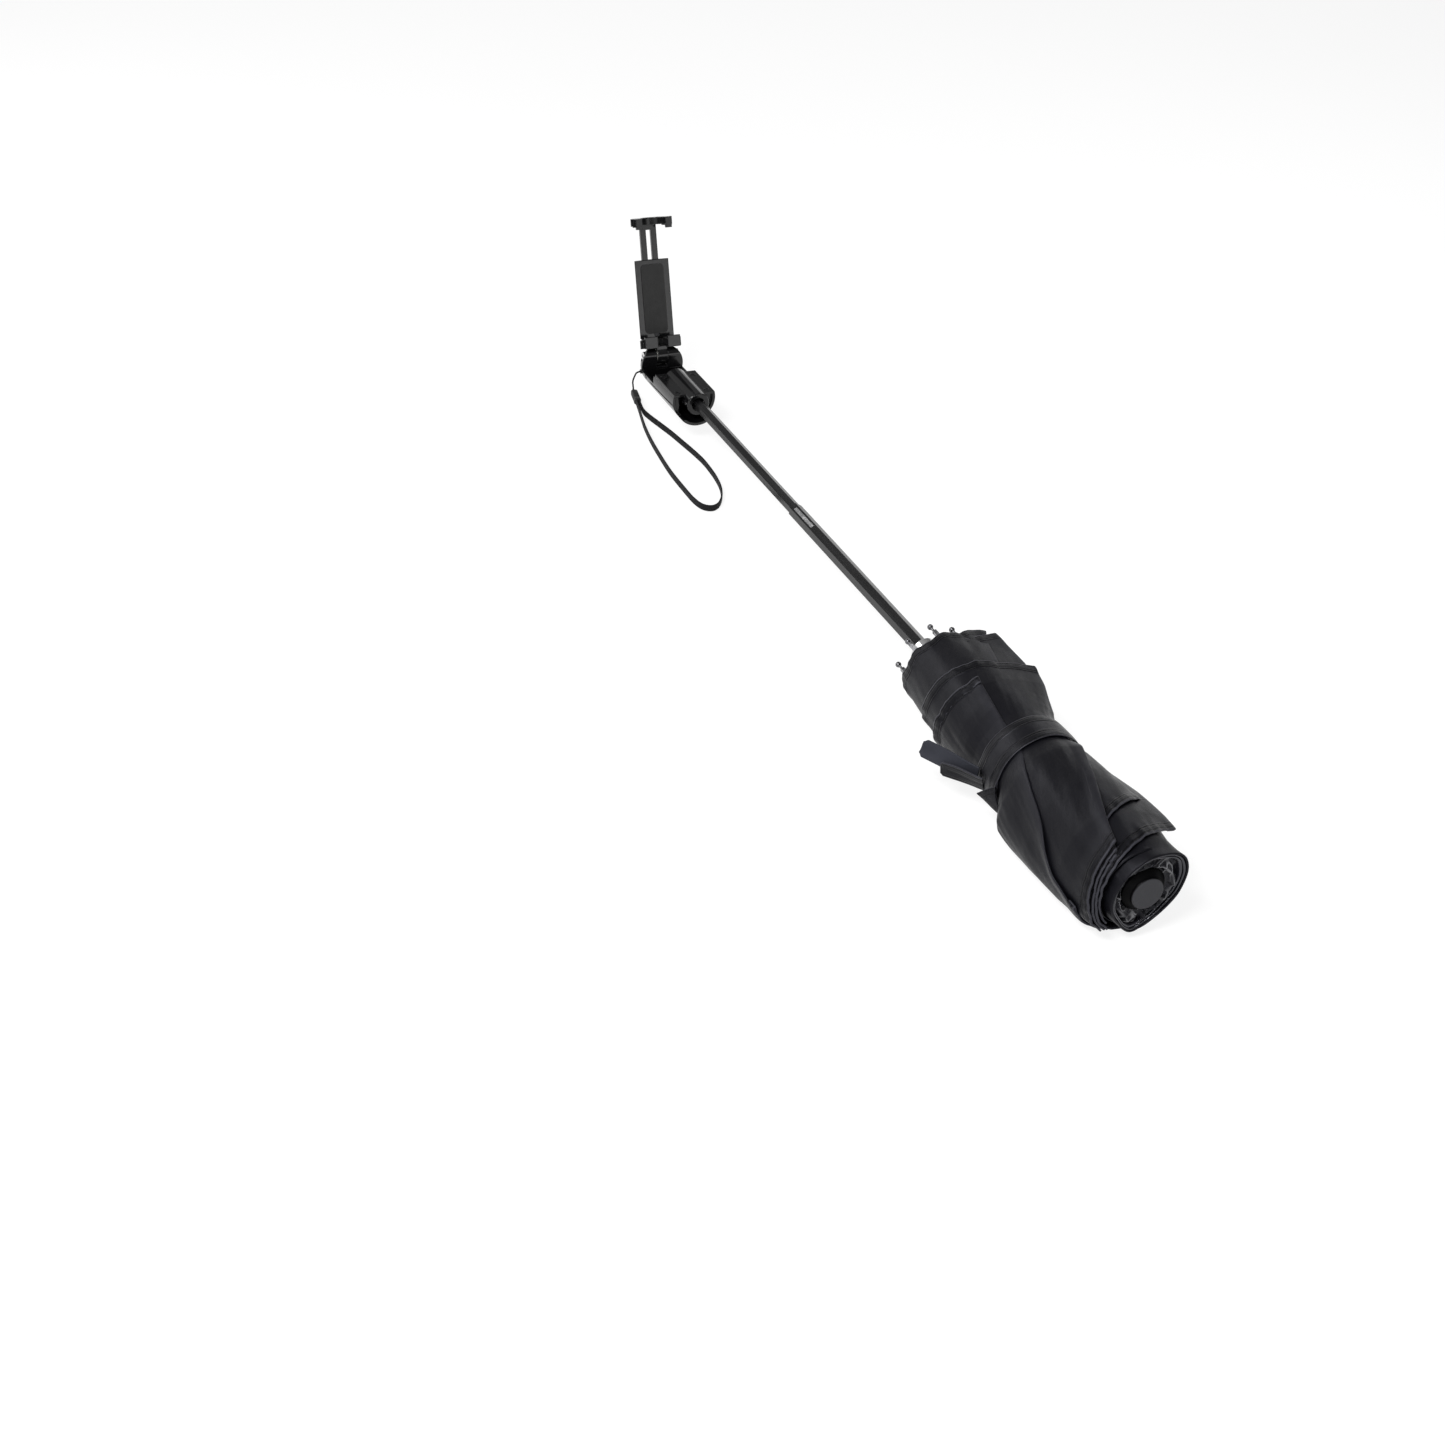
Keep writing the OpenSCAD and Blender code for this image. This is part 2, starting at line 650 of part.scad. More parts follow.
module handle_screws() {
    head_t = 1.1;
    color("dimgray") at_handle() for (x = screw_xs) both_sides() translate([-x, boss_y, flat_z - 1]) difference() {
        union() {
            cylinder(d = screw_head_d, h = head_t);
            translate([0, 0, -7]) cylinder(d = screw_d, h = 7);
        }
        for (q = [0, 90]) rotate(q) translate([-1.1, -0.25, head_t - 0.5]) cube([2.2, 0.5, past]);
    }
}

module shaft_pin() {
    reach = jaw_inner_r - 0.5;
    color("silver") at_handle() translate([-core_reach + 4, 0, 0]) rod_y(-reach, reach, clip_d);
}

module hinge_screw() {
    color("silver") at_handle() translate([0, 0, pin_z]) difference() {
        union() {
            rod_y(lobe_seat, lobe_seat + pin_head_t, pin_head_d);
            rod_y(1 - lobe_seat, lobe_seat, pin_d);
        }
        for (q = [0, 90]) rotate([0, q, 0]) box(-1.8, 1.8, lobe_seat + 1, handle_r, -0.4, 0.4);
    }
}

module hinge_nut() {
    color("silver") at_handle() translate([0, 0, pin_z]) difference() {
        union() {
            rod_y(-lobe_seat - pin_head_t, -lobe_seat, pin_head_d);
            rod_y(-lobe_seat, -slot_half, barrel_d);
        }
        rod_y(1 - lobe_seat - 0.1, 0, pin_d + 2 * screw_gap);
        box(-2.4, 2.4, -handle_r, -lobe_seat - 1, -0.4, 0.4);
    }
}

module hinge_washers() {
    color("ivory") at_handle() translate([0, 0, pin_z]) both_sides() difference() {
        rod_y(slot_half - washer_t, slot_half, 2 * knuckle_r - 0.4);
        rod_y(0, handle_r, pin_d + 2 * screw_gap);
    }
}

// Clamp

module handle_circle() {
    translate([axis_x, 0]) circle(d = handle_d, $fn = 96);
}

module slab(x0, x1) {
    translate([x0, -handle_r]) square([x1 - x0, handle_d]);
}

module clamp_body() {
    color("black") at_clamp() difference() {
        union() {
            // Back housing, the front of the closed handle
            translate([0, 0, jaw_foot]) linear_extrude(height = body_top - jaw_foot) intersection() {
                handle_circle();
                slab(channel_x, handle_d);
            }
            // Lower jaw: a half ring with two blocks and their lips
            translate([0, 0, jaw_foot]) linear_extrude(height = lower_jaw_h) difference() {
                intersection() {
                    handle_circle();
                    slab(lip_out_x, handle_d);
                }
                translate([lip_out_x - past, -block_y]) square([rest_x - lip_out_x + past, 2 * block_y]);
                for (side = [-1, 1]) translate([lip_out_x - past, side > 0 ? lip_y : -handle_d - lip_y])
                    square([slot_t * 0.6 + past, handle_d]);
            }
            both_sides() box(lip_out_x, lip_in_x, block_y, lip_y, jaw_foot, grip_low + lip_drop);
            // Tongue
            rod_y(-tongue_w / 2, tongue_w / 2, 2 * (knuckle_r + 1.1));
            box(lip_in_x + 0.7, knuckle_r - 0.2, -tongue_w / 2, tongue_w / 2, 0, jaw_foot + past);
        }
        difference() {
            box(channel_x - past, channel_x + channel_t, -bar_w / 2 - 0.15, bar_w / 2 + 0.15,
                channel_foot, body_top + past);
            box(channel_x - past, channel_x + channel_t + past, -1.6, 1.6, post_z, post_z + post_len);
        }
        box(channel_x - 2 * past, channel_x, -3, 3, channel_foot, body_top + past);
        rod_y(-tongue_w, tongue_w, pin_d + 2 * screw_gap);
        cover_screw_holes(1.7, channel_x + 2.6);
        // Grooves across the back for the fingers
        for (k = [0 : 4]) translate([handle_r + axis_x + 0.5, 0, jaw_foot + 14 + 9 * k]) rod_y(-6, 6, 2);
    }
}

cover_screw_zs = [grip_low + 2.6, post_z + post_len / 2];

module cover_screw_holes(d, to_x) {
    for (z = cover_screw_zs) translate([0, 0, z]) rod_x(cover_x - past, to_x, d);
}

module clamp_cover() {
    color("black") at_clamp() difference() {
        translate([0, 0, grip_low]) linear_extrude(height = body_top - grip_low) intersection() {
            handle_circle();
            slab(cover_x, channel_x);
        }
        cover_screw_holes(1.7 + 2 * screw_gap, channel_x + past);
        for (z = cover_screw_zs) translate([0, 0, z]) rod_x(cover_x - past, cover_x + 0.8, 3.8);
    }
}

module cover_screws() {
    color("dimgray") at_clamp() for (z = cover_screw_zs) translate([0, 0, z]) {
        rod_x(cover_x + 0.1, cover_x + 0.8, 3.4);
        rod_x(cover_x + 0.8, channel_x + 2.4, 1.7);
    }
}

module rest_pad() {
    half = 8.5;
    round = 3;
    color("gray") at_clamp() translate([rest_x, 0, 0]) rotate([0, 90, 0]) linear_extrude(height = rest_pad_t) {
        translate([-body_top + 3, round - half]) square([body_top - grip_low - 6, 2 * (half - round)]);
        translate([-body_top + 3 + round, -half]) square([body_top - grip_low - 6 - 2 * round, 2 * half]);
        for (x = [-body_top + 3 + round, -grip_low - 3 - round], y = [round - half, half - round])
            translate([x, y]) circle(r = round);
    }
}

module pad_outline(inner_y) {
    difference() {
        intersection() {
            translate([axis_x, 0]) circle(d = handle_d - 2.4, $fn = 96);
            slab(lip_in_x + 0.4, rest_x - 0.4);
        }
        translate([lip_out_x, -inner_y]) square([handle_r, 2 * inner_y]);
    }
}

module lower_jaw_pads() {
    color("gray") at_clamp() translate([0, 0, jaw_top]) linear_extrude(height = pad_t) pad_outline(block_y + 0.4);
}

module coil(r, wire, turns, long) {
    steps = 10;
    sides = 6;
    n = turns * steps;
    path = [for (i = [0 : n]) let (a = 360 * i / steps)
        [r * cos(a), r * sin(a), wire / 2 + (long - wire) * i / n]];
    points = [for (i = [0 : n], q = [0 : sides - 1]) let (a = 360 * i / steps, b = 360 * q / sides)
        path[i] + wire / 2 * (cos(b) * [cos(a), sin(a), 0] + sin(b) * [0, 0, 1])];
    walls = [for (i = [0 : n - 1], q = [0 : sides - 1])
        let (a = i * sides + q, b = i * sides + (q + 1) % sides) each [[a, b, b + sides], [a, b + sides, a + sides]]];
    ends = [for (q = [1 : sides - 2]) each [[0, q + 1, q], [n * sides, n * sides + q, n * sides + q + 1]]];
    polyhedron(points = points, faces = concat(walls, ends));
}

module jaw_spring() {
    color("silver") at_clamp() translate([channel_x + channel_t / 2, 0, spring_foot])
        coil(spring_r, spring_wire, spring_turns, post_z - spring_foot);
}

module upper_jaw() {
    bar_x = channel_x + 0.15;
    color("black") at_clamp() difference() {
        union() {
            translate([0, 0, upper_z]) linear_extrude(height = upper_jaw_h) difference() {
                intersection() {
                    handle_circle();
                    slab(lip_out_x, handle_d);
                }
                translate([axis_x, 0]) circle(r = jaw_inner_r);
                for (side = [-1, 1]) translate([lip_out_x - past, side > 0 ? lip_y : -handle_d - lip_y])
                    square([slot_t * 0.6 + past, handle_d]);
            }
            both_sides() box(lip_out_x, lip_in_x, jaw_inner_r, lip_y, upper_z - pad_t - lip_drop, upper_z + past);
            box(bar_x, bar_x + bar_t, -bar_w / 2, bar_w / 2, bar_foot, upper_z + past);
        }
        box(bar_x - past, bar_x + bar_t + past, -window_half, window_half, spring_foot, upper_z - 3.5);
        // Slot and peg holes in the ring's top
        box(bar_x + 1.6, bar_x + 3.2, -3, 3, upper_z + upper_jaw_h - 2.5, upper_z + upper_jaw_h + past);
        both_sides() translate([lip_in_x + 1.8, (jaw_inner_r + lip_y) / 2 + 0.4, upper_z - past])
            cylinder(d = 1.5, h = upper_jaw_h + 2 * past);
    }
}

module upper_jaw_pads() {
    color("gray") at_clamp() translate([0, 0, upper_z - pad_t]) linear_extrude(height = pad_t)
        pad_outline(jaw_inner_r + 0.4);
}

// Wrist strap

module strap_cord() {
    color("black") at_handle() sweep(smooth_route(cord_route, 4), oval(cord_d, cord_d, 8), [0.6, -0.6, 0.5]);
}

module strap_sleeve() {
    run = sleeve_to - sleeve_from;
    round = 1;
    color("black") at_handle() translate(sleeve_from) rotate([0, 0, atan2(run[1], run[0])]) rotate([0, 90, 0])
        linear_extrude(height = norm(run)) {
            square([sleeve_h, sleeve_w - 2 * round], center = true);
            square([sleeve_h - 2 * round, sleeve_w], center = true);
            for (a = [-1, 1], b = [-1, 1])
                translate([a * (sleeve_h / 2 - round), b * (sleeve_w / 2 - round)]) circle(r = round);
        }
}

module wrist_strap() {
    color("black") at_handle()
        sweep(smooth_route(webbing_route, 4), oval(webbing_t * 1.08, webbing_w * 1.08, 8), [0, 0, 1]);
}

ferrule_cap();
top_notch();
notch_wire();
top_tube();
runner();
runner_collar();
runner_wire();
stretchers();
top_ribs();
middle_ribs();
tip_ribs();
rib_rivets();
rib_tip_balls();
canopy_roll();
tie_strap();
tie_tabs();
middle_tube();
tube_leaf();
inner_tube();
handle_front();
handle_back();
handle_screws();
shaft_pin();
hinge_screw();
hinge_nut();
hinge_washers();
clamp_body();
clamp_cover();
cover_screws();
rest_pad();
lower_jaw_pads();
jaw_spring();
upper_jaw();
upper_jaw_pads();
strap_cord();
strap_sleeve();
wrist_strap();
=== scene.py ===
import json
import math

import bpy
import numpy as np
from mathutils import Matrix, Vector, noise


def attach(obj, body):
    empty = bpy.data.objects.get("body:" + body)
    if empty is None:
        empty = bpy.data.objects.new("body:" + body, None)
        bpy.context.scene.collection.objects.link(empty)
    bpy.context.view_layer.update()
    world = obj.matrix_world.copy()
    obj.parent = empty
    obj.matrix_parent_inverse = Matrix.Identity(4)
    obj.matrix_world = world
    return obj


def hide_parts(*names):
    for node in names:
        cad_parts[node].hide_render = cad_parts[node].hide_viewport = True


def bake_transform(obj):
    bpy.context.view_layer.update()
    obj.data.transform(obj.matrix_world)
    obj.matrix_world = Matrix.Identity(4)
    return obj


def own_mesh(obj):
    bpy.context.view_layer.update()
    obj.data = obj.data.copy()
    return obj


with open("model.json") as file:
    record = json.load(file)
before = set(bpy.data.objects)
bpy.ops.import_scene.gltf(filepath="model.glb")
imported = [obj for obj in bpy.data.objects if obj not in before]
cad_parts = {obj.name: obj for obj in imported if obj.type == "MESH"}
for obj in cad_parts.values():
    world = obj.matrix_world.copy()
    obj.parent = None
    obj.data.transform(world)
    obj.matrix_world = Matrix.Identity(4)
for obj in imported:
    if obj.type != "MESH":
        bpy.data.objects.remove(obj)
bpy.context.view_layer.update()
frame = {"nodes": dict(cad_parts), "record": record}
MM = 0.001

# Stations and radii of the solids, in millimetres
CAP_X = -121.0
CROWN_X = -115.0
ROLL_LEN = 223.5
TIE_SHARE = 0.465
TIE_X = CAP_X + TIE_SHARE * ROLL_LEN
TIE_W = 20.0
TIE_R = 26.5
PIN_X = 530.0
FLOOR_Z = -28.5
CAP_FACE_R = 8.6
SKIRT_R = 12.0
# The ribs, and the turn of the first one's tip in degrees
RIB_COUNT = 8
TIP_TURN = 5

# Thicknesses of the cloth, in millimetres
PANEL_T = 0.3
CORE_T = 0.35
CROWN_T = 0.25
DOUBLED_T = 0.5
TAB_T = 0.8

# Gap that keeps the cloth above the floor, and the distance to a free side for cloth that has none
FLOOR_GAP = 0.4
FAR = 1000.0


# Meshes

def smooth_line(points, steps=8):
    """A Catmull-Rom curve through the points."""
    points = np.array(points, float)
    ends = np.vstack([points[:1], points, points[-1:]])
    line = []
    for a, b, c, d in zip(ends, ends[1:], ends[2:], ends[3:]):
        for t in np.arange(steps) / steps:
            line.append(0.5 * (2 * b + (c - a) * t + (2 * a - 5 * b + 4 * c - d) * t ** 2
                               + (3 * b - a - 3 * c + d) * t ** 3))
    return np.array(line + [points[-1]])


def even_line(points, count, scale=(1.0, 1.0)):
    """The smooth curve through the points, at evenly spaced places along it."""
    line = smooth_line(points)
    run = np.r_[0, np.cumsum(np.linalg.norm(np.diff(line * scale, axis=0), axis=1))]
    at = np.linspace(0, run[-1], count)
    return np.column_stack([np.interp(at, run, column) for column in line.T])


def grid_faces(rows, cols, around=False):
    """Four-sided faces between the points of a grid, closed into a ring where it goes around."""
    faces = []
    for i in range(rows - 1):
        for j in range(cols if around else cols - 1):
            k = (j + 1) % cols
            faces.append((i * cols + j, (i + 1) * cols + j, (i + 1) * cols + k, i * cols + k))
    return faces


def steps_along(grid, axis):
    """Distance from the first row or column of a grid of points to each of its points."""
    gaps = np.linalg.norm(np.diff(grid, axis=axis), axis=2)
    start = np.zeros_like(gaps[:1] if axis == 0 else gaps[:, :1])
    return np.concatenate([start, np.cumsum(gaps, axis=axis)], axis=axis)


def add_mesh(name, points, faces, maps=None):
    """A smooth mesh in millimetres, with UV maps given as one pair of numbers for each point."""
    mesh = bpy.data.meshes.new(name)
    mesh.from_pydata((np.asarray(points) * MM).tolist(), [], faces)
    mesh.polygons.foreach_set("use_smooth", [True] * len(mesh.polygons))
    corner = np.empty(len(mesh.loops), int)
    mesh.loops.foreach_get("vertex_index", corner)
    for map_name, pairs in (maps or {}).items():
        layer = mesh.uv_layers.new(name=map_name)
        layer.data.foreach_set("uv", np.asarray(pairs, float)[corner].ravel())
    obj = bpy.data.objects.new(name, mesh)
    bpy.context.scene.collection.objects.link(obj)
    return obj


def add_grid(name, grid, hem=None, outward=None, crest=None):
    """A sheet from rows of points, mapped in millimetres of cloth. hem holds the distance to the nearest
    hem, the place along it and, on a panel, the distance to its free side. outward is a grid of directions
    that the front faces. crest is 1 where the tops of sharp folds get a painted highlight."""
    rows, cols = grid.shape[:2]
    faces = grid_faces(rows, cols)
    if outward is not None:
        front = np.cross(grid[1:, :-1] - grid[:-1, :-1], grid[:-1, 1:] - grid[:-1, :-1])
        if (front * outward[:-1, :-1]).sum() < 0:
            faces = [face[::-1] for face in faces]
    cloth = np.dstack([steps_along(grid, 1), steps_along(grid, 0)]).reshape(-1, 2)
    maps = {"UVMap": cloth}
    if hem is not None:
        maps["hem"] = hem[..., :2].reshape(-1, 2)
        side = hem[..., 2] if hem.shape[2] > 2 else np.full((rows, cols), FAR)
        maps["side"] = np.dstack([side, side]).reshape(-1, 2)
    if crest is not None:
        maps["crest"] = np.dstack([crest, crest]).reshape(-1, 2)
    return add_mesh(name, grid.reshape(-1, 3), faces, maps)


def tube_frame(path):
    """Heading, side and top at each point of a path, carried along it without twist."""
    ahead = np.gradient(path, axis=0)
    ahead /= np.linalg.norm(ahead, axis=1)[:, None]
    top = np.array([0, 0, 1.0])
    frames = []
    for t in ahead:
        top = top - t * (top @ t)
        top = top / np.linalg.norm(top)
        frames.append((t, np.cross(t, top), top))
    return frames


def add_tube(name, path, section):
    """A closed tube along a path, from a ring of (side, top) section points in millimetres."""
    frames = tube_frame(path)
    rings = [[p + side * a + top * b for a, b in section] for p, (_, side, top) in zip(path, frames)]
    n = len(section)
    run = np.r_[0, np.cumsum(np.linalg.norm(np.diff(path, axis=0), axis=1))]
    points = np.array(rings).reshape(-1, 3)
    faces = grid_faces(len(path), n, around=True)
    last = (len(path) - 1) * n
    faces += [tuple(range(n)), tuple(last + k for k in reversed(range(n)))]
    faces = [face[::-1] for face in faces]
    round_it = np.linalg.norm(np.diff(np.vstack([section, section[:1]]), axis=0), axis=1)
    around = np.r_[0, np.cumsum(round_it)][:n]
    pairs = np.array([[a, r] for r in run for a in around])
    return add_mesh(name, points, faces, {"UVMap": pairs})


def oval(width, height, count, squareness=1.0):
    """Points of a rounded section: 1 is an ellipse, and less is squarer."""
    turn = 2 * math.pi * np.arange(count) / count
    ring = np.column_stack([np.cos(turn), np.sin(turn)])
    return np.sign(ring) * np.abs(ring) ** squareness * (width / 2, height / 2)


def thicken(obj, thickness):
    """Gives a sheet its thickness in millimetres, half to each side."""
    shell = obj.modifiers.new("thickness", "SOLIDIFY")
    shell.thickness = thickness * MM
    shell.offset = 0


def ripple(x, y, seed):
    """Smooth noise at arrays of places, from -1 to 1."""
    x, y = np.broadcast_arrays(np.asarray(x, float), np.asarray(y, float))
    return np.array([noise.noise((a, b, seed)) for a, b in zip(x.ravel(), y.ravel())]).reshape(x.shape)


def ease(t):
    """A smooth step from 0 to 1."""
    t = np.clip(t, 0, 1)
    return t * t * (3 - 2 * t)


def near_end(t, share):
    """A smooth step over the last share of a run from 0 to 1."""
    return ease((t - (1 - share)) / share)


# Camera, at the photograph's viewing angle

CAMERA_PLACE = (-0.7859, 0.5440, 0.6263)
CAMERA_BACK = Vector((-0.7586, 0.3537, 0.5472)).normalized()
CAMERA_UP = Vector((0.5246, -0.1667, 0.8349))
SENSOR_MM = 36
LENS_MM = 53.33


def add_camera():
    data = bpy.data.cameras.new("camera")
    data.sensor_width = SENSOR_MM
    data.lens = LENS_MM
    data.clip_start = 0.01
    camera = bpy.data.objects.new("camera", data)
    bpy.context.scene.collection.objects.link(camera)
    right = CAMERA_UP.cross(CAMERA_BACK).normalized()
    up = CAMERA_BACK.cross(right)
    turn = Matrix((right, up, CAMERA_BACK)).transposed().to_4x4()
    camera.matrix_world = Matrix.Translation(CAMERA_PLACE) @ turn
    bpy.context.scene.camera = camera


# Materials

class Nodes:
    """A material's node tree, with short ways to add and join nodes."""

    def __init__(self, name):
        self.material = bpy.data.materials.new(name)
        self.material.use_nodes = True
        self.tree = self.material.node_tree
        self.shader = self.tree.nodes["Principled BSDF"]

    def add(self, kind, inputs=None, **settings):
        node = self.tree.nodes.new(kind)
        for key, value in settings.items():
            setattr(node, key, value)
        for key, value in (inputs or {}).items():
            self.put(node.inputs[key], value)
        return node

    def put(self, socket, value):
        if isinstance(value, bpy.types.NodeSocket):
            self.tree.links.new(value, socket)
        else:
            socket.default_value = value

    def set(self, **values):
        for key, value in values.items():
            self.put(self.shader.inputs[key.replace("_", " ")], value)

    def math(self, operation, a, b=0.0):
        return self.add("ShaderNodeMath", {0: a, 1: b}, operation=operation).outputs[0]

    def ramp(self, value, low, high, to_low=0.0, to_high=1.0):
        inputs = {"Value": value, "From Min": low, "From Max": high, "To Min": to_low, "To Max": to_high}
        return self.add("ShaderNodeMapRange", inputs).outputs["Result"]

    def blend(self, share, a, b):
        inputs = {"Factor": share, "A": a, "B": b}
        node = self.add("ShaderNodeMix", data_type="RGBA")
        for socket in node.inputs:
            if socket.name in inputs and socket.type in ("RGBA", "VALUE") and socket.enabled:
                value = inputs[socket.name]
                self.put(socket, value + (1,) if isinstance(value, tuple) else value)
        return next(s for s in node.outputs if s.type == "RGBA")

    def place(self):
        return self.add("ShaderNodeTexCoord").outputs["Object"]

    def cloth_place(self, name="UVMap"):
        return self.add("ShaderNodeUVMap", uv_map=name).outputs["UV"]

    def cloth_number(self, name, axis="X"):
        """One of the two numbers that a UV map holds."""
        return self.add("ShaderNodeSeparateXYZ", {0: self.cloth_place(name)}).outputs[axis]

    def scaled(self, vector, x, y, z):
        return self.add("ShaderNodeMapping", {"Vector": vector, "Scale": (x, y, z)}).outputs["Vector"]

    def noise(self, vector, scale, detail=4.0, roughness=0.55):
        inputs = {"Vector": vector, "Scale": scale, "Detail": detail, "Roughness": roughness}
        return self.add("ShaderNodeTexNoise", inputs).outputs["Fac"]

    def wave(self, vector, direction, period):
        """Bands that repeat after a number of the vector's units."""
        inputs = {"Vector": vector, "Scale": 2 * math.pi / 20 / period}
        return self.add("ShaderNodeTexWave", inputs, bands_direction=direction).outputs["Fac"]

    def bump(self, height, distance, strength=1.0, under=None):
        inputs = {"Height": height, "Distance": distance, "Strength": strength}
        if under is not None:
            inputs["Normal"] = under
        return self.add("ShaderNodeBump", inputs).outputs["Normal"]


# Colours of the cloth, its stitch rows and their painted shade, and painted light: hem edges, panels' free
# sides, fold crests
CLOTH_DARK = (0.0027, 0.0027, 0.0038)
CLOTH_LIGHT = (0.0058, 0.0058, 0.008)
STITCH_SHADE_DARK = (0.001, 0.001, 0.0012)
EDGE_HIGHLIGHT = (0.04, 0.04, 0.048)
SIDE_SHEEN = (0.017, 0.017, 0.021)
CREST_HIGHLIGHT = (0.22, 0.22, 0.23)
# Threads and hems, in millimetres: the stitch rows' distances from the edge, and the stitches along them
WEAVE_PITCH = 0.42
HEM_W = 5.2
STITCH_ROWS = (1.2, 4.6)
STITCH_PITCH = 2.6
STITCH_LEN = 1.9
SIDE_W = 12


def cloth_material(name, dark, light, roughness, hemmed, specular=0.15):
    """Black umbrella nylon: a fine plain weave, soft creases and a faint sheen. Hemmed cloth has stitched
    hems with painted shade along their stitch rows, a painted highlight on the hems' edges and a painted
    sheen on panels' free sides, and other cloth has painted highlights on fold crests where its crest map
    says so."""
    nodes = Nodes(name)
    cloth = nodes.cloth_place()
    weave = nodes.math("MULTIPLY", nodes.wave(cloth, "X", WEAVE_PITCH), nodes.wave(cloth, "Y", WEAVE_PITCH))
    crease = nodes.noise(nodes.scaled(cloth, 0.12, 0.05, 1), 1.0, 5)
    patches = nodes.noise(nodes.place(), 38, 3)
    normal = nodes.bump(crease, 0.0011, 0.3)
    colour = nodes.blend(patches, dark, light)
    normal = nodes.bump(weave, 0.00005, 0.5, normal)
    if hemmed:
        edge, along = nodes.cloth_number("hem"), nodes.cloth_number("hem", "Y")
        # Painted sheen: the colour grows paler towards a panel's free side
        sheen = nodes.math("POWER", nodes.ramp(nodes.cloth_number("side"), 0.5, SIDE_W, 1, 0), 2.0)
        colour = nodes.blend(nodes.math("MULTIPLY", sheen, 0.8), colour, SIDE_SHEEN)
        fold = nodes.ramp(edge, HEM_W, HEM_W + 0.8, 1, 0)
        rows = []
        for row in STITCH_ROWS:
            off_row = nodes.math("ABSOLUTE", nodes.math("SUBTRACT", edge, row))
            rows.append(nodes.ramp(off_row, 0.2, 0.7, 1, 0))
        stitch = nodes.math("ADD", *rows)
        on_thread = nodes.math("LESS_THAN", nodes.math("MODULO", along, STITCH_PITCH), STITCH_LEN)
        thread = nodes.math("MULTIPLY", stitch, on_thread)
        pulled = nodes.math("SUBTRACT", fold, nodes.math("MULTIPLY", stitch, 0.9))
        sewn = nodes.math("ADD", pulled, nodes.math("MULTIPLY", thread, 0.55))
        normal = nodes.bump(sewn, 0.0006, 0.8, normal)
        # Darker over the hem band, and darker along the stitch rows for the thread's colour and painted shade
        # in their grooves
        colour = nodes.blend(nodes.math("MULTIPLY", fold, 0.35), colour, STITCH_SHADE_DARK)
        colour = nodes.blend(nodes.math("MULTIPLY", stitch, 0.85), colour, STITCH_SHADE_DARK)
        # Painted highlight along the hem's very edge
        colour = nodes.blend(nodes.ramp(edge, 0.1, 0.7, 1, 0), colour, EDGE_HIGHLIGHT)
    else:
        # Painted highlights on the crests of sharp folds, where the crest map says so
        colour = nodes.blend(nodes.cloth_number("crest"), colour, CREST_HIGHLIGHT)
    nodes.set(Base_Color=colour, Normal=normal)
    nodes.set(Roughness=nodes.ramp(crease, 0.3, 0.7, roughness - 0.07, roughness + 0.09))
    nodes.set(Specular_IOR_Level=specular, Specular_Tint=(0.9, 0.9, 1, 1))
    return nodes.material


def webbing_material():
    """Flat woven webbing: slanted ribs across its width."""
    nodes = Nodes("webbing")
    cloth = nodes.cloth_place()
    ribs = nodes.wave(cloth, "DIAGONAL", 0.55)
    cross = nodes.wave(cloth, "Y", 0.8)
    height = nodes.math("ADD", ribs, nodes.math("MULTIPLY", cross, 0.6))
    dust = nodes.noise(nodes.place(), 160, 4)
    nodes.set(Base_Color=nodes.blend(dust, (0.004, 0.004, 0.0045), (0.012, 0.012, 0.0135)))
    nodes.set(Normal=nodes.bump(height, 0.00012, 0.8))
    nodes.set(Roughness=nodes.ramp(height, 0, 1.6, 0.82, 0.62), Specular_IOR_Level=0.2)
    return nodes.material


def plastic_material(name, dark, light, roughness, grain, worn=0.0):
    """Moulded black plastic: slight waviness, fine scuffs, and edges that are rubbed a little paler."""
    nodes = Nodes(name)
    place = nodes.place()
    waves = nodes.noise(place, 90, 2)
    scuffs = nodes.noise(nodes.scaled(place, 900, 160, 240), 1.0, 6, 0.7)
    edges = nodes.ramp(nodes.add("ShaderNodeNewGeometry").outputs["Pointiness"], 0.53, 0.62)
    tone = nodes.math("ADD", nodes.math("MULTIPLY", scuffs, 0.5), nodes.math("MULTIPLY", edges, worn))
    nodes.set(Base_Color=nodes.blend(tone, dark, light))
    rough = nodes.math("ADD", nodes.ramp(scuffs, 0.35, 0.75, roughness * 0.8, roughness * 1.45),
                       nodes.math("MULTIPLY", edges, 0.08))
    rounded = nodes.add("ShaderNodeBevel", {"Radius": 0.0007}, samples=6).outputs["Normal"]
    normal = nodes.bump(waves, 0.0004, 0.12, rounded)
    nodes.set(Roughness=rough, Normal=nodes.bump(scuffs, grain, 0.5, normal), Specular_IOR_Level=0.42)
    return nodes.material


def cap_material():
    """The end cap's matt dark grey face, inside a smoother black skirt."""
    nodes = Nodes("cap_plastic")
    place = nodes.place()
    off_axis = nodes.scaled(place, 0, 1, 1)
    across = nodes.add("ShaderNodeVectorMath", {0: off_axis}, operation="LENGTH").outputs["Value"]
    skirt = nodes.ramp(across, CAP_FACE_R * MM, (CAP_FACE_R + 0.5) * MM)
    speckle = nodes.noise(place, 1400, 4, 0.6)
    face = nodes.blend(speckle, (0.034, 0.034, 0.039), (0.052, 0.052, 0.058))
    nodes.set(Base_Color=nodes.blend(skirt, face, (0.002, 0.002, 0.0022)))
    nodes.set(Roughness=nodes.ramp(skirt, 0, 1, 0.6, 0.4), Normal=nodes.bump(speckle, 0.00006, 0.4))
    nodes.set(Specular_IOR_Level=nodes.ramp(skirt, 0, 1, 0.25, 0.04))
    return nodes.material


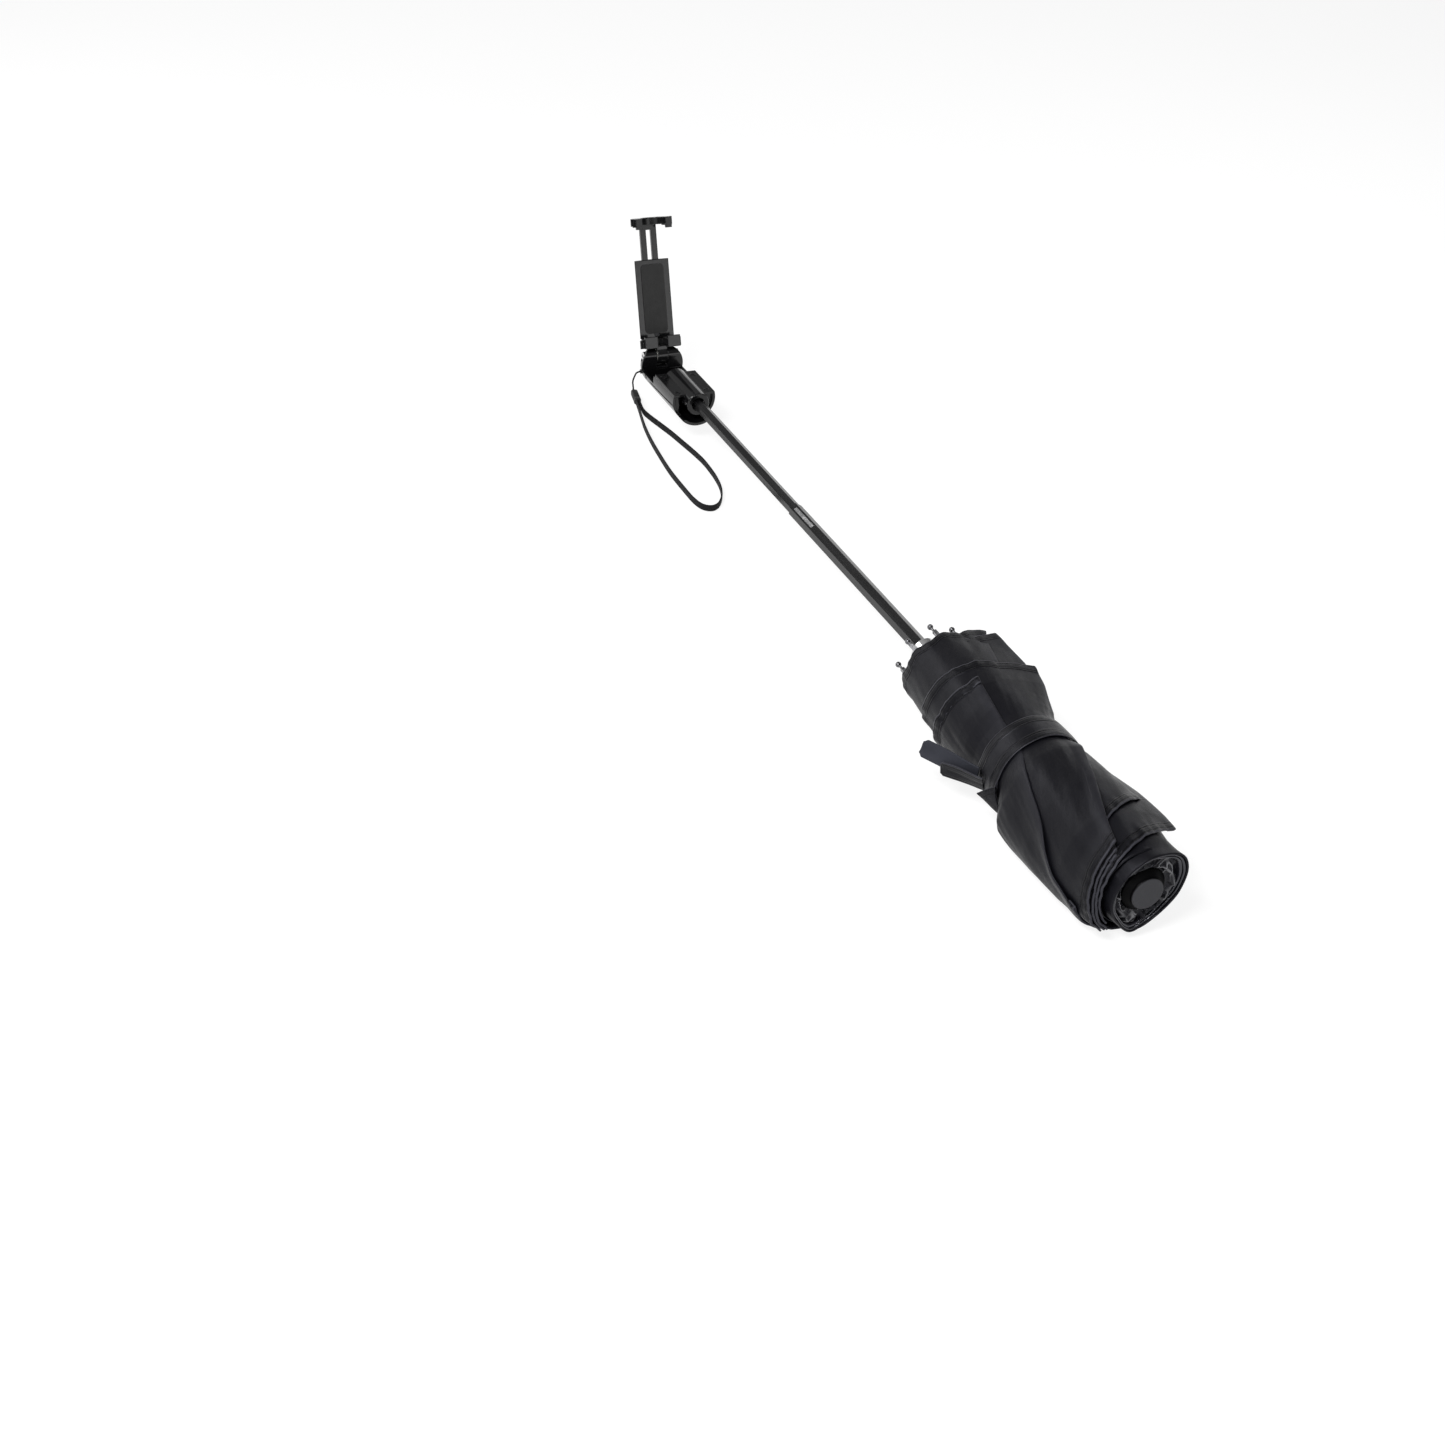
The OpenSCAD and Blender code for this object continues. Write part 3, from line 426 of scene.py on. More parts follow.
def tube_material():
    """Black lacquered steel tube with fine drawing lines along it and rub marks from sliding."""
    nodes = Nodes("tube_black")
    place = nodes.place()
    lines = nodes.noise(nodes.scaled(place, 6, 2600, 2600), 1.0, 3)
    rubs = nodes.noise(nodes.scaled(place, 16, 420, 420), 1.0, 5, 0.65)
    worn = nodes.ramp(rubs, 0.45, 0.8)
    nodes.set(Base_Color=nodes.blend(worn, (0.003, 0.003, 0.0034), (0.009, 0.009, 0.0098)))
    nodes.set(Roughness=nodes.ramp(rubs, 0.3, 0.75, 0.2, 0.34), Specular_IOR_Level=0.26)
    nodes.set(Normal=nodes.bump(lines, 0.00003, 0.5), Coat_Weight=0.1, Coat_Roughness=0.2)
    return nodes.material


def metal_material(name, dark, light, roughness):
    """Plated or drawn steel with smudges and hairline scratches."""
    nodes = Nodes(name)
    place = nodes.place()
    smudges = nodes.noise(place, 260, 4)
    hairs = nodes.noise(nodes.scaled(place, 300, 3200, 3200), 1.0, 3)
    nodes.set(Base_Color=nodes.blend(smudges, dark, light), Metallic=1.0)
    nodes.set(Roughness=nodes.ramp(smudges, 0.3, 0.75, roughness * 0.7, roughness * 1.6))
    nodes.set(Normal=nodes.bump(hairs, 0.00002, 0.4))
    return nodes.material


def rubber_material():
    """Matt rubber with a fine moulded grain."""
    nodes = Nodes("pad_rubber")
    place = nodes.place()
    grain = nodes.add("ShaderNodeTexVoronoi", {"Vector": place, "Scale": 1500}).outputs["Distance"]
    dust = nodes.noise(place, 120, 4)
    nodes.set(Base_Color=nodes.blend(dust, (0.007, 0.007, 0.007), (0.018, 0.018, 0.018)))
    nodes.set(Roughness=nodes.ramp(dust, 0.3, 0.7, 0.62, 0.82), Normal=nodes.bump(grain, 0.00012, 0.6))
    return nodes.material


MATERIALS = {
    "canopy_cloth": cloth_material("canopy_cloth", CLOTH_DARK, CLOTH_LIGHT, 0.4, True),
    "crumpled_cloth": cloth_material("crumpled_cloth", CLOTH_DARK, CLOTH_LIGHT, 0.14, False, 0.7),
    "drawn_cloth": cloth_material("drawn_cloth", CLOTH_DARK, CLOTH_LIGHT, 0.2, False, 0.2),
    "strap_cloth": cloth_material("strap_cloth", CLOTH_DARK, CLOTH_LIGHT, 0.36, True, 0.2),
    "hook_tape": cloth_material("hook_tape", (0.02, 0.021, 0.027), (0.045, 0.047, 0.058), 0.6, False),
    "webbing": webbing_material(),
    "cap_plastic": cap_material(),
    "frame_plastic": plastic_material("frame_plastic", (0.015, 0.015, 0.015), (0.035, 0.035, 0.035),
                                      0.5, 0.00006),
    "handle_plastic": plastic_material("handle_plastic", (0.002, 0.002, 0.0024), (0.008, 0.008, 0.0087),
                                       0.09, 0.00001, 0.5),
    "sleeve_plastic": plastic_material("sleeve_plastic", (0.01, 0.01, 0.01), (0.025, 0.025, 0.026),
                                       0.5, 0.00008),
    "washer_plastic": plastic_material("washer_plastic", (0.55, 0.54, 0.5), (0.7, 0.69, 0.65),
                                       0.4, 0.00003),
    "tube_black": tube_material(),
    "bright_chrome": metal_material("bright_chrome", (0.62, 0.62, 0.63), (0.8, 0.8, 0.8), 0.13),
    "tip_steel": metal_material("tip_steel", (0.1, 0.1, 0.105), (0.2, 0.2, 0.21), 0.22),
    "rib_steel": metal_material("rib_steel", (0.2, 0.2, 0.21), (0.36, 0.36, 0.37), 0.36),
    "spring_steel": metal_material("spring_steel", (0.4, 0.4, 0.41), (0.58, 0.58, 0.58), 0.24),
    "black_screw": metal_material("black_screw", (0.035, 0.035, 0.037), (0.075, 0.075, 0.08), 0.34),
    "pad_rubber": rubber_material(),
}


def finish_piece(obj, body, material, slot, *replaced):
    """Gives a new piece its material and body, and hides the solids that it stands for. Its slot argument is
    not used.
    """
    obj.data.materials.append(MATERIALS[material])
    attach(obj, body)
    if replaced:
        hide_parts(*replaced)
    return obj


# Wrist strap: the cord in its lug, the sleeve, and the webbing loop that stands on edge on the floor

def from_pin(points):
    """Points given from the shaft pin's place along X."""
    return np.array(points, float) + [PIN_X, 0, 0]


CORD_ROUTE = from_pin([
    (-4.5, 15.26, -3.2), (-4.5, 16.56, -3.2), (-4, 18.3, -3.8), (-2.8, 19, -5.1), (0.4, 18.8, -8.8),
    (4.2, 18.2, -13), (8, 17, -17), (12, 15.3, -20.4), (15.2, 13.9, -22.1), (16.6, 13.3, -23.6),
    (16.2, 13.2, -25.1), (14.7, 13.7, -26), (12.9, 14.3, -26)])
SLEEVE_ENDS = from_pin([(12.9, 14.3, -26), (-5.74, 17.96, -26)])
WEBBING_ROUTE = from_pin([
    (-5.84, 19, -26), (-14, 20.8, -26), (-23, 22.9, -26), (-36, 26, -26), (-48, 28.6, -26),
    (-66, 31.6, -26), (-85, 33.9, -26), (-116, 36.7, -26), (-145, 37.2, -26), (-160, 36.8, -26),
    (-169, 34.6, -26), (-172.6, 29.8, -26), (-170.6, 24.6, -26), (-164.5, 19.8, -26), (-157, 16, -26),
    (-148, 13, -26), (-138, 11, -26), (-125, 9.6, -26), (-108, 9, -26), (-92, 10.2, -26), (-77, 12, -26),
    (-61, 14, -26), (-46, 16.6, -26), (-33, 18.9, -26), (-23, 19.9, -26), (-14, 18.6, -26),
    (-6.22, 17.04, -26)])
CORD_D = 1.2
WEBBING_W = 4.5
WEBBING_T = 1.2
SLEEVE_W = 5.0
SLEEVE_H = 4.7


def add_sleeve():
    """A flat moulded sleeve: rounded ends, a step where the cord goes in, and a seam groove round it."""
    start, end = SLEEVE_ENDS
    run = np.linalg.norm(end - start)
    axis = (end - start) / run
    side = np.cross(axis, [0, 0, 1])
    # Distance along the sleeve, and the share of the full section there
    profile = [(0, 0.3), (0.05, 0.42), (0.3, 0.5), (2.2, 0.56), (2.6, 0.8), (3.0, 0.94), (3.8, 0.99)]
    profile += [(run - 4.4, 0.99), (run - 4.2, 0.9), (run - 3.8, 0.9), (run - 3.6, 0.99)]
    profile += [(run - 0.9, 1.0), (run - 0.3, 0.95), (run, 0.82), (run, 0.3)]
    section = oval(SLEEVE_W, SLEEVE_H, 32, 0.5)
    ring = np.outer(section[:, 0], side) + np.outer(section[:, 1], [0, 0, 1])
    points = np.array([start + axis * at + ring * share for at, share in profile]).reshape(-1, 3)
    faces = grid_faces(len(profile), len(section), around=True)
    obj = add_mesh("sleeve", points, faces)
    return finish_piece(obj, "handle", "sleeve_plastic", "sleeve_plastic", "strap_sleeve")


def add_wrist_strap():
    """The sleeve, the cord and the webbing loop."""
    sleeve = add_sleeve()
    cord_path = smooth_line(CORD_ROUTE, 6)
    cord = add_tube("wrist_cord", cord_path, oval(CORD_D, CORD_D, 12))
    finish_piece(cord, "handle", "webbing", "strap_cloth", "strap_cord")
    path = smooth_line(WEBBING_ROUTE, 10)
    webbing = add_tube("wrist_webbing", path, oval(WEBBING_T, WEBBING_W, 16, 0.55))
    finish_piece(webbing, "handle", "webbing", "strap_cloth", "wrist_strap")
    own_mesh(webbing)


# Rolled canopy. Places on it are given as X in millimetres and the turn from the top to +Y in degrees.

ROLL_SHAPE = np.array([
    (0.033, 25.4), (0.065, 26.6), (0.15, 28.4), (0.27, 28.2), (0.41, 26.6), (TIE_SHARE, 24.6),
    (0.585, 24.6), (0.65, 26.4), (0.71, 27.3), (0.81, 26.6), (0.92, 24.6), (1, 22.4)])
# Loose corners: share of the length, turn, spread of each, and height
LOOSE_CORNERS = [(0.76, -57, 0.15, 24, 8.5), (0.24, -57, 0.09, 22, 1.5), (0.27, 123, 0.21, 30, 5.4),
                 (0.07, 123, 0.06, 30, 2.0), (0.40, 112, 0.09, 30, 3.2)]
# Share of the loose corners' height that the inner turns follow
INNER_FLARE = 0.3
# A hem's section, as steps past the edge and under it
HEM_FOLD = [(0.3, 0.12), (0.42, 0.4), (0.3, 0.7), (-0.4, 0.85), (-4.5, 0.8)]
# Distances from the strap over which cloth is held down, comes free, and loses its gathers
HELD_RUN = 3
FREE_RUN = 14
GATHER_RUN = 26
# Most degrees past its leave turn that a panel's end runs straight
STRAIGHT_TURN = 58


def past_strap(x):
    """Distance along the roll to the tie strap, less than 0 under it."""
    return np.maximum(TIE_X - x, x - TIE_X - TIE_W)


def tied_in(x):
    """0 under the tie strap, and 1 where the cloth is free of it."""
    return np.clip(past_strap(x) / FREE_RUN - 0.05, 0, 1)


def scallops(turn):
    """0 at the rib tips, and 1 halfway between them, where the mouth's hem draws in."""
    return 0.5 - 0.5 * np.cos(np.radians(RIB_COUNT * (turn - TIP_TURN)))


def whole_turn(rows, cols):
    """Turns from the underside round to the underside again, the same in each row."""
    return np.linspace(180, 540, cols)[None, :] + np.zeros((rows, 1))


def off_seam(turn, spread):
    """0 on the underside, where the ends of a whole turn meet, and 1 away from there."""
    return ease(np.minimum(turn - 180, 540 - turn) / spread)


def roll_radius(x, turn, flare=1.0):
    """Radius of the rolled cloth, with a share of its loose corners."""
    share = (x - CAP_X) / ROLL_LEN
    radius = np.interp(share, *ROLL_SHAPE.T)
    loose = 0
    for at, around, spread, spread_turn, height in LOOSE_CORNERS:
        apart = np.abs((turn - around + 180) % 360 - 180)
        loose = loose + height * np.exp(-((share - at) / spread) ** 2 - (apart / spread_turn) ** 2)
    return radius + flare * loose * tied_in(x)


def on_roll(x, turn, radius):
    """Points at a radius from the axis, kept above the floor."""
    angle = np.radians(turn)
    z = np.maximum(radius * np.cos(angle), FLOOR_Z + FLOOR_GAP)
    return np.dstack([x, radius * np.sin(angle), z])


def outward_of(turn):
    """Directions away from the roll's axis."""
    angle = np.radians(turn)
    return np.dstack([np.zeros_like(angle), np.sin(angle), np.cos(angle)])


def folds(x, turn, seed, depth):
    """Long soft folds along the roll, gathered towards the strap, with a few finer ones across them."""
    gather = np.exp(-np.maximum(past_strap(x), 0) / GATHER_RUN)
    lean = turn + 0.55 * x
    long_folds = ripple(x / 70, lean / 17, seed)
    pleats = ripple(x / 45, lean / 6.5, seed + 7)
    fine = ripple(x / 11, turn / 12, seed + 13)
    return depth * (0.75 * long_folds + 0.85 * gather * pleats + 0.12 * fine)


def turn_under(grid, out, axis):
    """Turns the last row or column of a sheet under itself, as a hem or a folded edge does."""
    last = np.take(grid, -1, axis)
    ahead = last - np.take(grid, -3, axis)
    ahead = ahead / np.linalg.norm(ahead, axis=-1)[..., None]
    down = -np.take(out, -1, axis)
    rows = [last + ahead * past + down * under for past, under in HEM_FOLD]
    return np.concatenate([grid, np.stack(rows, axis)], axis)


def pad_last(values, count, axis):
    """Repeats the last row or column of a grid of values."""
    return np.concatenate([values] + [np.take(values, [-1], axis)] * count, axis)


def add_flap(name, root, edge, layer, seed, leave=None, curl=1.0, depth=0.7, dip=0.0, scallop=0.0,
             release=0.9):
    """One loose panel of the canopy, from its hidden root line to its free edge line. Both lines are places
    along X with turns, which start under the strap and run to the panel's hemmed end. layer lifts the panel
    over those below, and curl lifts its free edge. depth is that of its folds, dip bows its end, and scallop
    draws its end in between the ribs. Past the turn leave, the panel's end runs off the roll along a straight
    line, and a higher release keeps more of it on the roll near the strap."""
    rows, cols = 90, 90
    left = even_line(root, rows, (1, 0.45))[:, None, :]
    right = even_line(edge, rows, (1, 0.45))[:, None, :]
    across = np.linspace(0, 1, cols)[None, :, None]
    down = np.linspace(0, 1, rows)[:, None]
    place = left + (right - left) * across
    x, turn = place[..., 0], place[..., 1]
    across = across[..., 0]
    x = x + dip * np.sin(math.pi * across) ** 1.3 * down ** 3
    x = x - scallop * scallops(turn) * near_end(down, 0.2)
    free = tied_in(x)
    radius = roll_radius(x, turn, 1.0 if leave is None else INNER_FLARE) + layer * (0.3 + 0.7 * free)
    if leave is not None:
        away = np.clip((turn - leave) * np.sign(edge[-1][1] - root[-1][1]), 0, STRAIGHT_TURN)
        radius = radius + (radius / np.cos(np.radians(away)) - radius) * down ** release * free
    radius = radius + folds(x, turn, seed, depth) * (0.25 + 0.75 * free)
    wavy = 0.7 + 0.5 * ripple(down * 3, 0 * down, seed)
    radius = radius + curl * near_end(across, 0.14) * free * wavy
    hem_lift = 0.45 * curl + 0.5 + 0.8 * ripple(turn / 9, down * 2, seed + 3)
    radius = radius + free * near_end(down, 0.14) * hem_lift
    radius = np.where(past_strap(x) < HELD_RUN, np.minimum(radius, TIE_R - 0.9), radius)
    grid = on_roll(x, turn, radius)
    out = outward_of(turn)
    to_end = steps_along(grid[::-1], 0)[::-1]
    to_side = steps_along(grid[:, ::-1], 1)[:, ::-1]
    hem = np.dstack([to_end, steps_along(grid, 1), to_side])
    for axis in (1, 0):
        grid = turn_under(grid, out, axis)
        out = pad_last(out, len(HEM_FOLD), axis)
        hem = pad_last(hem, len(HEM_FOLD), axis)
    obj = add_grid(name, grid, hem, out)
    thicken(obj, PANEL_T)
    finish_piece(obj, "canopy", "canopy_cloth", "canopy_cloth")


def add_core():
    """The inner turns of the roll, from the crown to the mouth, that the loose panels lie on."""
    rows, cols = 150, 181
    share = np.linspace(0.03, 0.985, rows)[:, None]
    turn = whole_turn(rows, cols)
    x = CAP_X + share * ROLL_LEN + 0 * turn
    open_side = 6 * np.exp(-((turn - 360 - 38) / 48) ** 2)
    x = x - (4 * scallops(turn) + open_side) * near_end(share, 0.14)
    radius = roll_radius(x, turn, INNER_FLARE) - 2.6 * tied_in(x) - 0.8
    radius = radius + off_seam(turn, 12) * folds(x, turn, 3.3, 0.9) * (0.3 + 0.7 * tied_in(x))
    grid = on_roll(x, turn, radius)
    to_mouth = steps_along(grid[::-1], 0)[::-1]
    obj = add_grid("canopy_core", grid, np.dstack([to_mouth, steps_along(grid, 1)]), outward_of(turn))
    thicken(obj, CORE_T)
    finish_piece(obj, "canopy", "canopy_cloth", "canopy_cloth", "canopy_roll")


# The roll's end, seen from the cap: the turn and radius of the outer rim's main points
RIM = [(-180, 22.6), (-138, 19.0), (-103, 21.0), (-84, 22.6), (-61, 25.2), (-46, 25.6), (-22, 22.8),
       (7, 20.4), (29, 18.6), (62, 17.6), (88, 18.6), (112, 19.8), (140, 21.2), (166, 24.3), (180, 22.6)]


def rim_radius(turn):
    """Radius of the outer rim at each turn."""
    line = smooth_line(RIM, 6)
    return np.interp((turn + 180) % 360 - 180, line[:, 0], line[:, 1])


def add_end_turns():
    """The ends of the outer turns, which draw in round the crown as nested rims."""
    # Each turn: where it starts and where its rim lies along X, how far its rim is inside the outer one, left
    # and right, and its ripple's seed
    turns = [(-90, -118.8, 0, 0, 21), (-104, -118.2, 0.9, 1.7, 22), (-106, -117.6, 1.8, 3.3, 23)]
    for k, (from_x, rim_x, inside_left, inside_right, seed) in enumerate(turns):
        rows, cols = 40, 241
        turn = whole_turn(rows, cols)
        down = np.linspace(0, 1, rows)[:, None]
        seam = off_seam(turn, 12)
        rightward = 0.5 - 0.5 * np.sin(np.radians(turn + 10))
        inside = inside_left + (inside_right - inside_left) * rightward
        x = from_x + (rim_x - from_x) * down + 0.8 * seam * ripple(turn / 50, 0 * turn, seed) * down
        start = roll_radius(x, turn, INNER_FLARE) - 2.2 - 2.2 * k
        radius = start + (rim_radius(turn) - inside - start) * down ** 2.2
        radius = radius + 0.7 * seam * ripple(turn / 22, x / 16, seed) * np.sin(math.pi * down * 0.8)
        grid = on_roll(x, turn, radius)
        out = outward_of(turn)
        # The rims have no stitched hem, so the hem's place begins past its width
        hem = np.dstack([steps_along(grid[::-1], 0)[::-1] + 6, steps_along(grid, 1)])
        grid = turn_under(grid, out, 0)
        out, hem = pad_last(out, len(HEM_FOLD), 0), pad_last(hem, len(HEM_FOLD), 0)
        obj = add_grid(f"end_turn_{k + 1}", grid, hem, out)
        thicken(obj, PANEL_T)
        finish_piece(obj, "canopy", "crumpled_cloth" if k else "canopy_cloth", "canopy_cloth")


def add_crumpled_crown():
    """Crumpled cloth drawn in round the end cap, from the rim to the cap's skirt, with painted highlights on
    its crests.
    """
    rows, cols = 80, 361
    turn = whole_turn(rows, cols)
    share = np.linspace(0, 1, rows)[:, None]
    outer = rim_radius(turn) - 2.4
    radius = outer + (SKIRT_R + 0.4 - outer) * share
    angle = np.radians(turn)
    y, z = radius * np.sin(angle), radius * np.cos(angle)
    pleats = 1 - 2.4 * np.abs(ripple(turn / 27 + 0.12 * radius, radius / 10, 31.7))
    creases = 1 - 2.2 * np.abs(ripple(y / 6.5, z / 6.5, 44.1))
    small = 1 - 2.0 * np.abs(ripple(y / 2.6, z / 2.6, 57.3))
    lift = 2.2 * pleats + 1.3 * creases + 0.16 * small
    held = np.sin(math.pi * np.clip(share * 0.9 + 0.05, 0, 1))
    x = CROWN_X - 0.6 * share - off_seam(turn, 8) * lift * held
    grid = np.dstack([x, y, np.maximum(z, FLOOR_Z + FLOOR_GAP)])
    front = np.zeros_like(grid)
    front[..., 0] = -1
    # Share of the crests that get a painted highlight, patchy round the crown
    worn = np.clip(0.25 + 1.8 * ripple(y / 8, z / 8, 63.9), 0, 1)
    crest = np.maximum(ease((pleats - 0.72) / 0.24), ease((creases - 0.82) / 0.16)) * worn
    obj = add_grid("crumpled_crown", grid, None, front, crest)
    thicken(obj, CROWN_T)
    finish_piece(obj, "canopy", "drawn_cloth", "canopy_cloth")


def add_turned_corner():
    """A small corner of cloth that is folded back over the strap's edge on the near side."""
    rows, cols = 30, 30
    # Its tip and the two ends of its fold, as X, turn and radius
    tip, low, high = (-7.0, 107.0, 33.0), (-28.0, 113.0, 29.8), (-17.8, 88.0, 27.9)
    along = np.linspace(0, 1, rows)[:, None]
    across = np.linspace(0, 1, cols)[None, :]
    base = [low[k] + (high[k] - low[k]) * across for k in range(3)]
    x, turn, radius = (base[k] + (tip[k] - base[k]) * along * 0.985 for k in range(3))
    radius = radius + 0.5 * np.sin(math.pi * across) * (1 - along)
    radius = radius + 0.3 * ripple(along * 2, across * 2, 77)
    grid = on_roll(x, turn, radius)
    out = outward_of(turn)
    edge = np.minimum(across, 1 - across) * (1 - along) * 24
    obj = add_grid("turned_corner", grid, np.dstack([edge, steps_along(grid, 0)]), out)
    thicken(obj, DOUBLED_T)
    finish_piece(obj, "canopy", "canopy_cloth", "canopy_cloth")


def add_canopy():
    """The core, the roll's end and the loose panels, from the lowest up."""
    add_core()
    add_end_turns()
    add_crumpled_crown()
    add_turned_corner()
    # Lower half, between the strap and the cap
    add_flap("panel_c", [(-12, 60), (-45, 95), (-80, 122), (-118, 128)],
             [(-12, -66), (-45, -64), (-75, -61), (-98, -57)],
             layer=-1.6, seed=51, leave=-24, curl=0.5, depth=0.6, dip=-5)
    add_flap("panel_b", [(-12, 5), (-40, 20), (-65, 36), (-97, 46)],
             [(-12, -66), (-36, -63), (-58, -60), (-71, -57)],
             layer=-0.4, seed=52, leave=-38.5, curl=0.8, depth=0.5, release=1.8)
    add_flap("panel_e", [(-12, 200), (-45, 215), (-80, 225), (-100, 235)],
             [(-12, 96), (-40, 106), (-70, 118), (-92, 128)], layer=-0.6, seed=53, curl=0.6)
    root_a = [(-12, 66), (-44, 86), (-66, 102), (-90, 124)]
    add_flap("panel_a_low", root_a + [(-119, 134)],
             [(-12, -28), (-26, -18), (-65, 11), (-94, 30), (-111, 38)],
             layer=-0.9, seed=58, curl=0.4, depth=0.6)
    add_flap("panel_a_under", root_a + [(-118, 134)],
             [(-12, -31), (-26, -21), (-65, 8), (-94, 27), (-109, 34)],
             layer=0.0, seed=55, curl=0.4, depth=0.6)
    add_flap("panel_a", root_a + [(-117, 134)],
             [(-12, -36), (-26, -26), (-65, 3), (-94, 23), (-107, 30)], layer=0.9, seed=54, curl=2.2)
    add_flap("panel_d", [(-12, 140), (-44, 152), (-64, 162), (-90, 178), (-112, 196)],
             [(-12, 33), (-18, 38), (-44, 56), (-64, 71), (-85, 99), (-106, 111)], layer=1.9, seed=56)
    add_flap("panel_back", [(-12, -40), (-45, -60), (-75, -75), (-108, -90)],
             [(-12, -175), (-45, -165), (-75, -158), (-104, -150)], layer=-1.0, seed=57, curl=0.8)
    # Upper half, between the strap and the mouth
    add_flap("mouth_back", [(-2, -40), (30, -42), (70, -44), (97, -46)],
             [(-2, -190), (30, -190), (70, -192), (101, -196)],
             layer=-2.0, seed=62, curl=0.4, depth=0.6, scallop=2.4)
    add_flap("mouth_side", [(-2, 30), (30, 18), (60, 4), (86, -6)],
             [(-2, -64), (30, -61), (60, -58), (92, -56)],
             layer=-1.6, seed=66, leave=-6, curl=0.3, depth=0.5, release=1.6)
    add_flap("mouth_panel", [(-2, 178), (30, 176), (70, 170), (103, 160)],
             [(-2, 6), (28, -8), (60, -27), (99, -54)],
             layer=-0.6, seed=61, leave=-10, curl=0.6, depth=0.6, dip=-4.5, scallop=2.6)
    add_flap("panel_u1", [(-2, 128), (20, 124), (45, 118), (67, 110)],
             [(-2, -64), (16, -62), (34, -60), (53.4, -57)],
             layer=0.3, seed=63, leave=-18.5, curl=0.4, depth=0.6, scallop=0.8, release=1.8)
    add_flap("panel_u3", [(-2, -60), (20, -66), (40, -74), (60, -84)],
             [(-2, -190), (20, -180), (40, -168), (58, -156)], layer=-0.9, seed=64, curl=0.6)
    add_flap("panel_u2", [(-2, 176), (15, 170), (35, 164), (54, 156)],
             [(-2, 34), (0.4, 32), (20, 26), (41, 20)],
             layer=1.3, seed=65, curl=2.6, dip=-1, scallop=0.6)


# Tie strap: a band that laps over itself, and its two free ends

# Where the band starts, how far round it goes, and where on the way it begins to lap, in degrees
BAND_START = 84
BAND_ROUND = 402
LAP_AT = 352
LAP_HEIGHT = 0.8


def add_tie_strap():
    """The band round the roll, which lies over its own start at the lap."""
    rows, cols = 18, 260
    turn = np.linspace(BAND_START, BAND_START + BAND_ROUND, cols)[None, :] + np.zeros((rows, 1))
    across = np.linspace(0, 1, rows)[:, None]
    lap = ease((turn - BAND_START - LAP_AT) / 14) * LAP_HEIGHT
    sag = 0.25 * ripple(turn / 30, across * 2, 71)
    radius = TIE_R + lap + sag * np.sin(math.pi * across) - 0.35 * (2 * across - 1) ** 2
    x = TIE_X + 0.3 + (TIE_W - 0.6) * across + 0.5 * ripple(turn / 40, 0 * turn, 72)
    angle = np.radians(turn)
    grid = np.dstack([x, radius * np.sin(angle), radius * np.cos(angle)])
    edge = np.minimum(across, 1 - across) * TIE_W + 0 * turn
    hem = np.dstack([edge, steps_along(grid, 1)])
    obj = add_grid("tie_band", grid, hem, outward_of(turn))
    thicken(obj, DOUBLED_T)
    finish_piece(obj, "canopy", "strap_cloth", "strap_cloth", "tie_strap")


# Each tab: its root's place along X and turn, its run, its width, its lean at the root, what the lean gains
# towards the tip, and its bow
TIE_TABS = [(TIE_X + TIE_W * 0.86, 97, (29.6, 18.4, 2.4), 10, 97, -38, 1.5),
            (TIE_X + TIE_W * 0.6, 103, (21, 14.4, -0.3), 10.1, 112, -8, -1.2)]


def add_tie_tabs():
    """The strap's free ends, which stand out from the roll: hook tape, and a stitched end."""
    for k, (at_x, root_turn, run, wide, lean, twist, bow) in enumerate(TIE_TABS):
        rows, cols = 48, 16
        out = np.linspace(0, 1, rows)[:, None]
        across = np.linspace(-0.5, 0.5, cols)[None, :]
        root_r = TIE_R + 1.3
        angle = math.radians(root_turn)
        root = np.array([at_x, root_r * math.sin(angle), root_r * math.cos(angle)])
        run = np.array(run)
        long = np.linalg.norm(run)
        ahead = run / long
        level = np.cross([0, 0, 1], ahead)
        level = level / np.linalg.norm(level)
        above = np.cross(ahead, level)
        turn = np.radians(-(lean + twist * ease(out * 1.3)))[..., None]
        width_way = level * np.cos(turn) + above * np.sin(turn)
        face_way = above * np.cos(turn) - level * np.sin(turn)
        narrow = 1 - 0.35 * near_end(out, 0.07)
        off = bow * np.sin(math.pi * out * 0.95) + 1.6 * across ** 2 * out
        off = off + 0.5 * ripple(out * 2, across * 2, 81 + k)
        grid = root + ahead * (long * out)[..., None] + width_way * (wide * across * narrow)[..., None]
        grid = grid + face_way * (off * out)[..., None]
        edge = (0.5 - np.abs(across)) * wide + 0 * out
        to_end = steps_along(grid[::-1], 0)[::-1]
        hem = np.dstack([np.minimum(edge, to_end), steps_along(grid, 0)])
        obj = add_grid(f"tie_tab_{k + 1}", grid, hem)
        thicken(obj, TAB_T)
        material = "strap_cloth" if k else "hook_tape"
        replaced = [] if k else ["tie_tabs"]
        finish_piece(obj, "canopy", material, "strap_cloth", *replaced)


# Solids that stay in view, and the spring between two of them

# Solids with a darker plating than their slot's
DARKER = {"rib_tip_balls": "tip_steel"}
# The way that the jaw slides
JAW_WAY = np.array([0.325568, 0, 0.945519])


def dress_solids():
    """Gives each solid the material of its slot."""
    for part in frame["record"]["subparts"]:
        mesh = frame["nodes"][part["node"]].data
        mesh.materials.clear()
        mesh.materials.append(MATERIALS[DARKER.get(part["node"], part["material_slot"])])


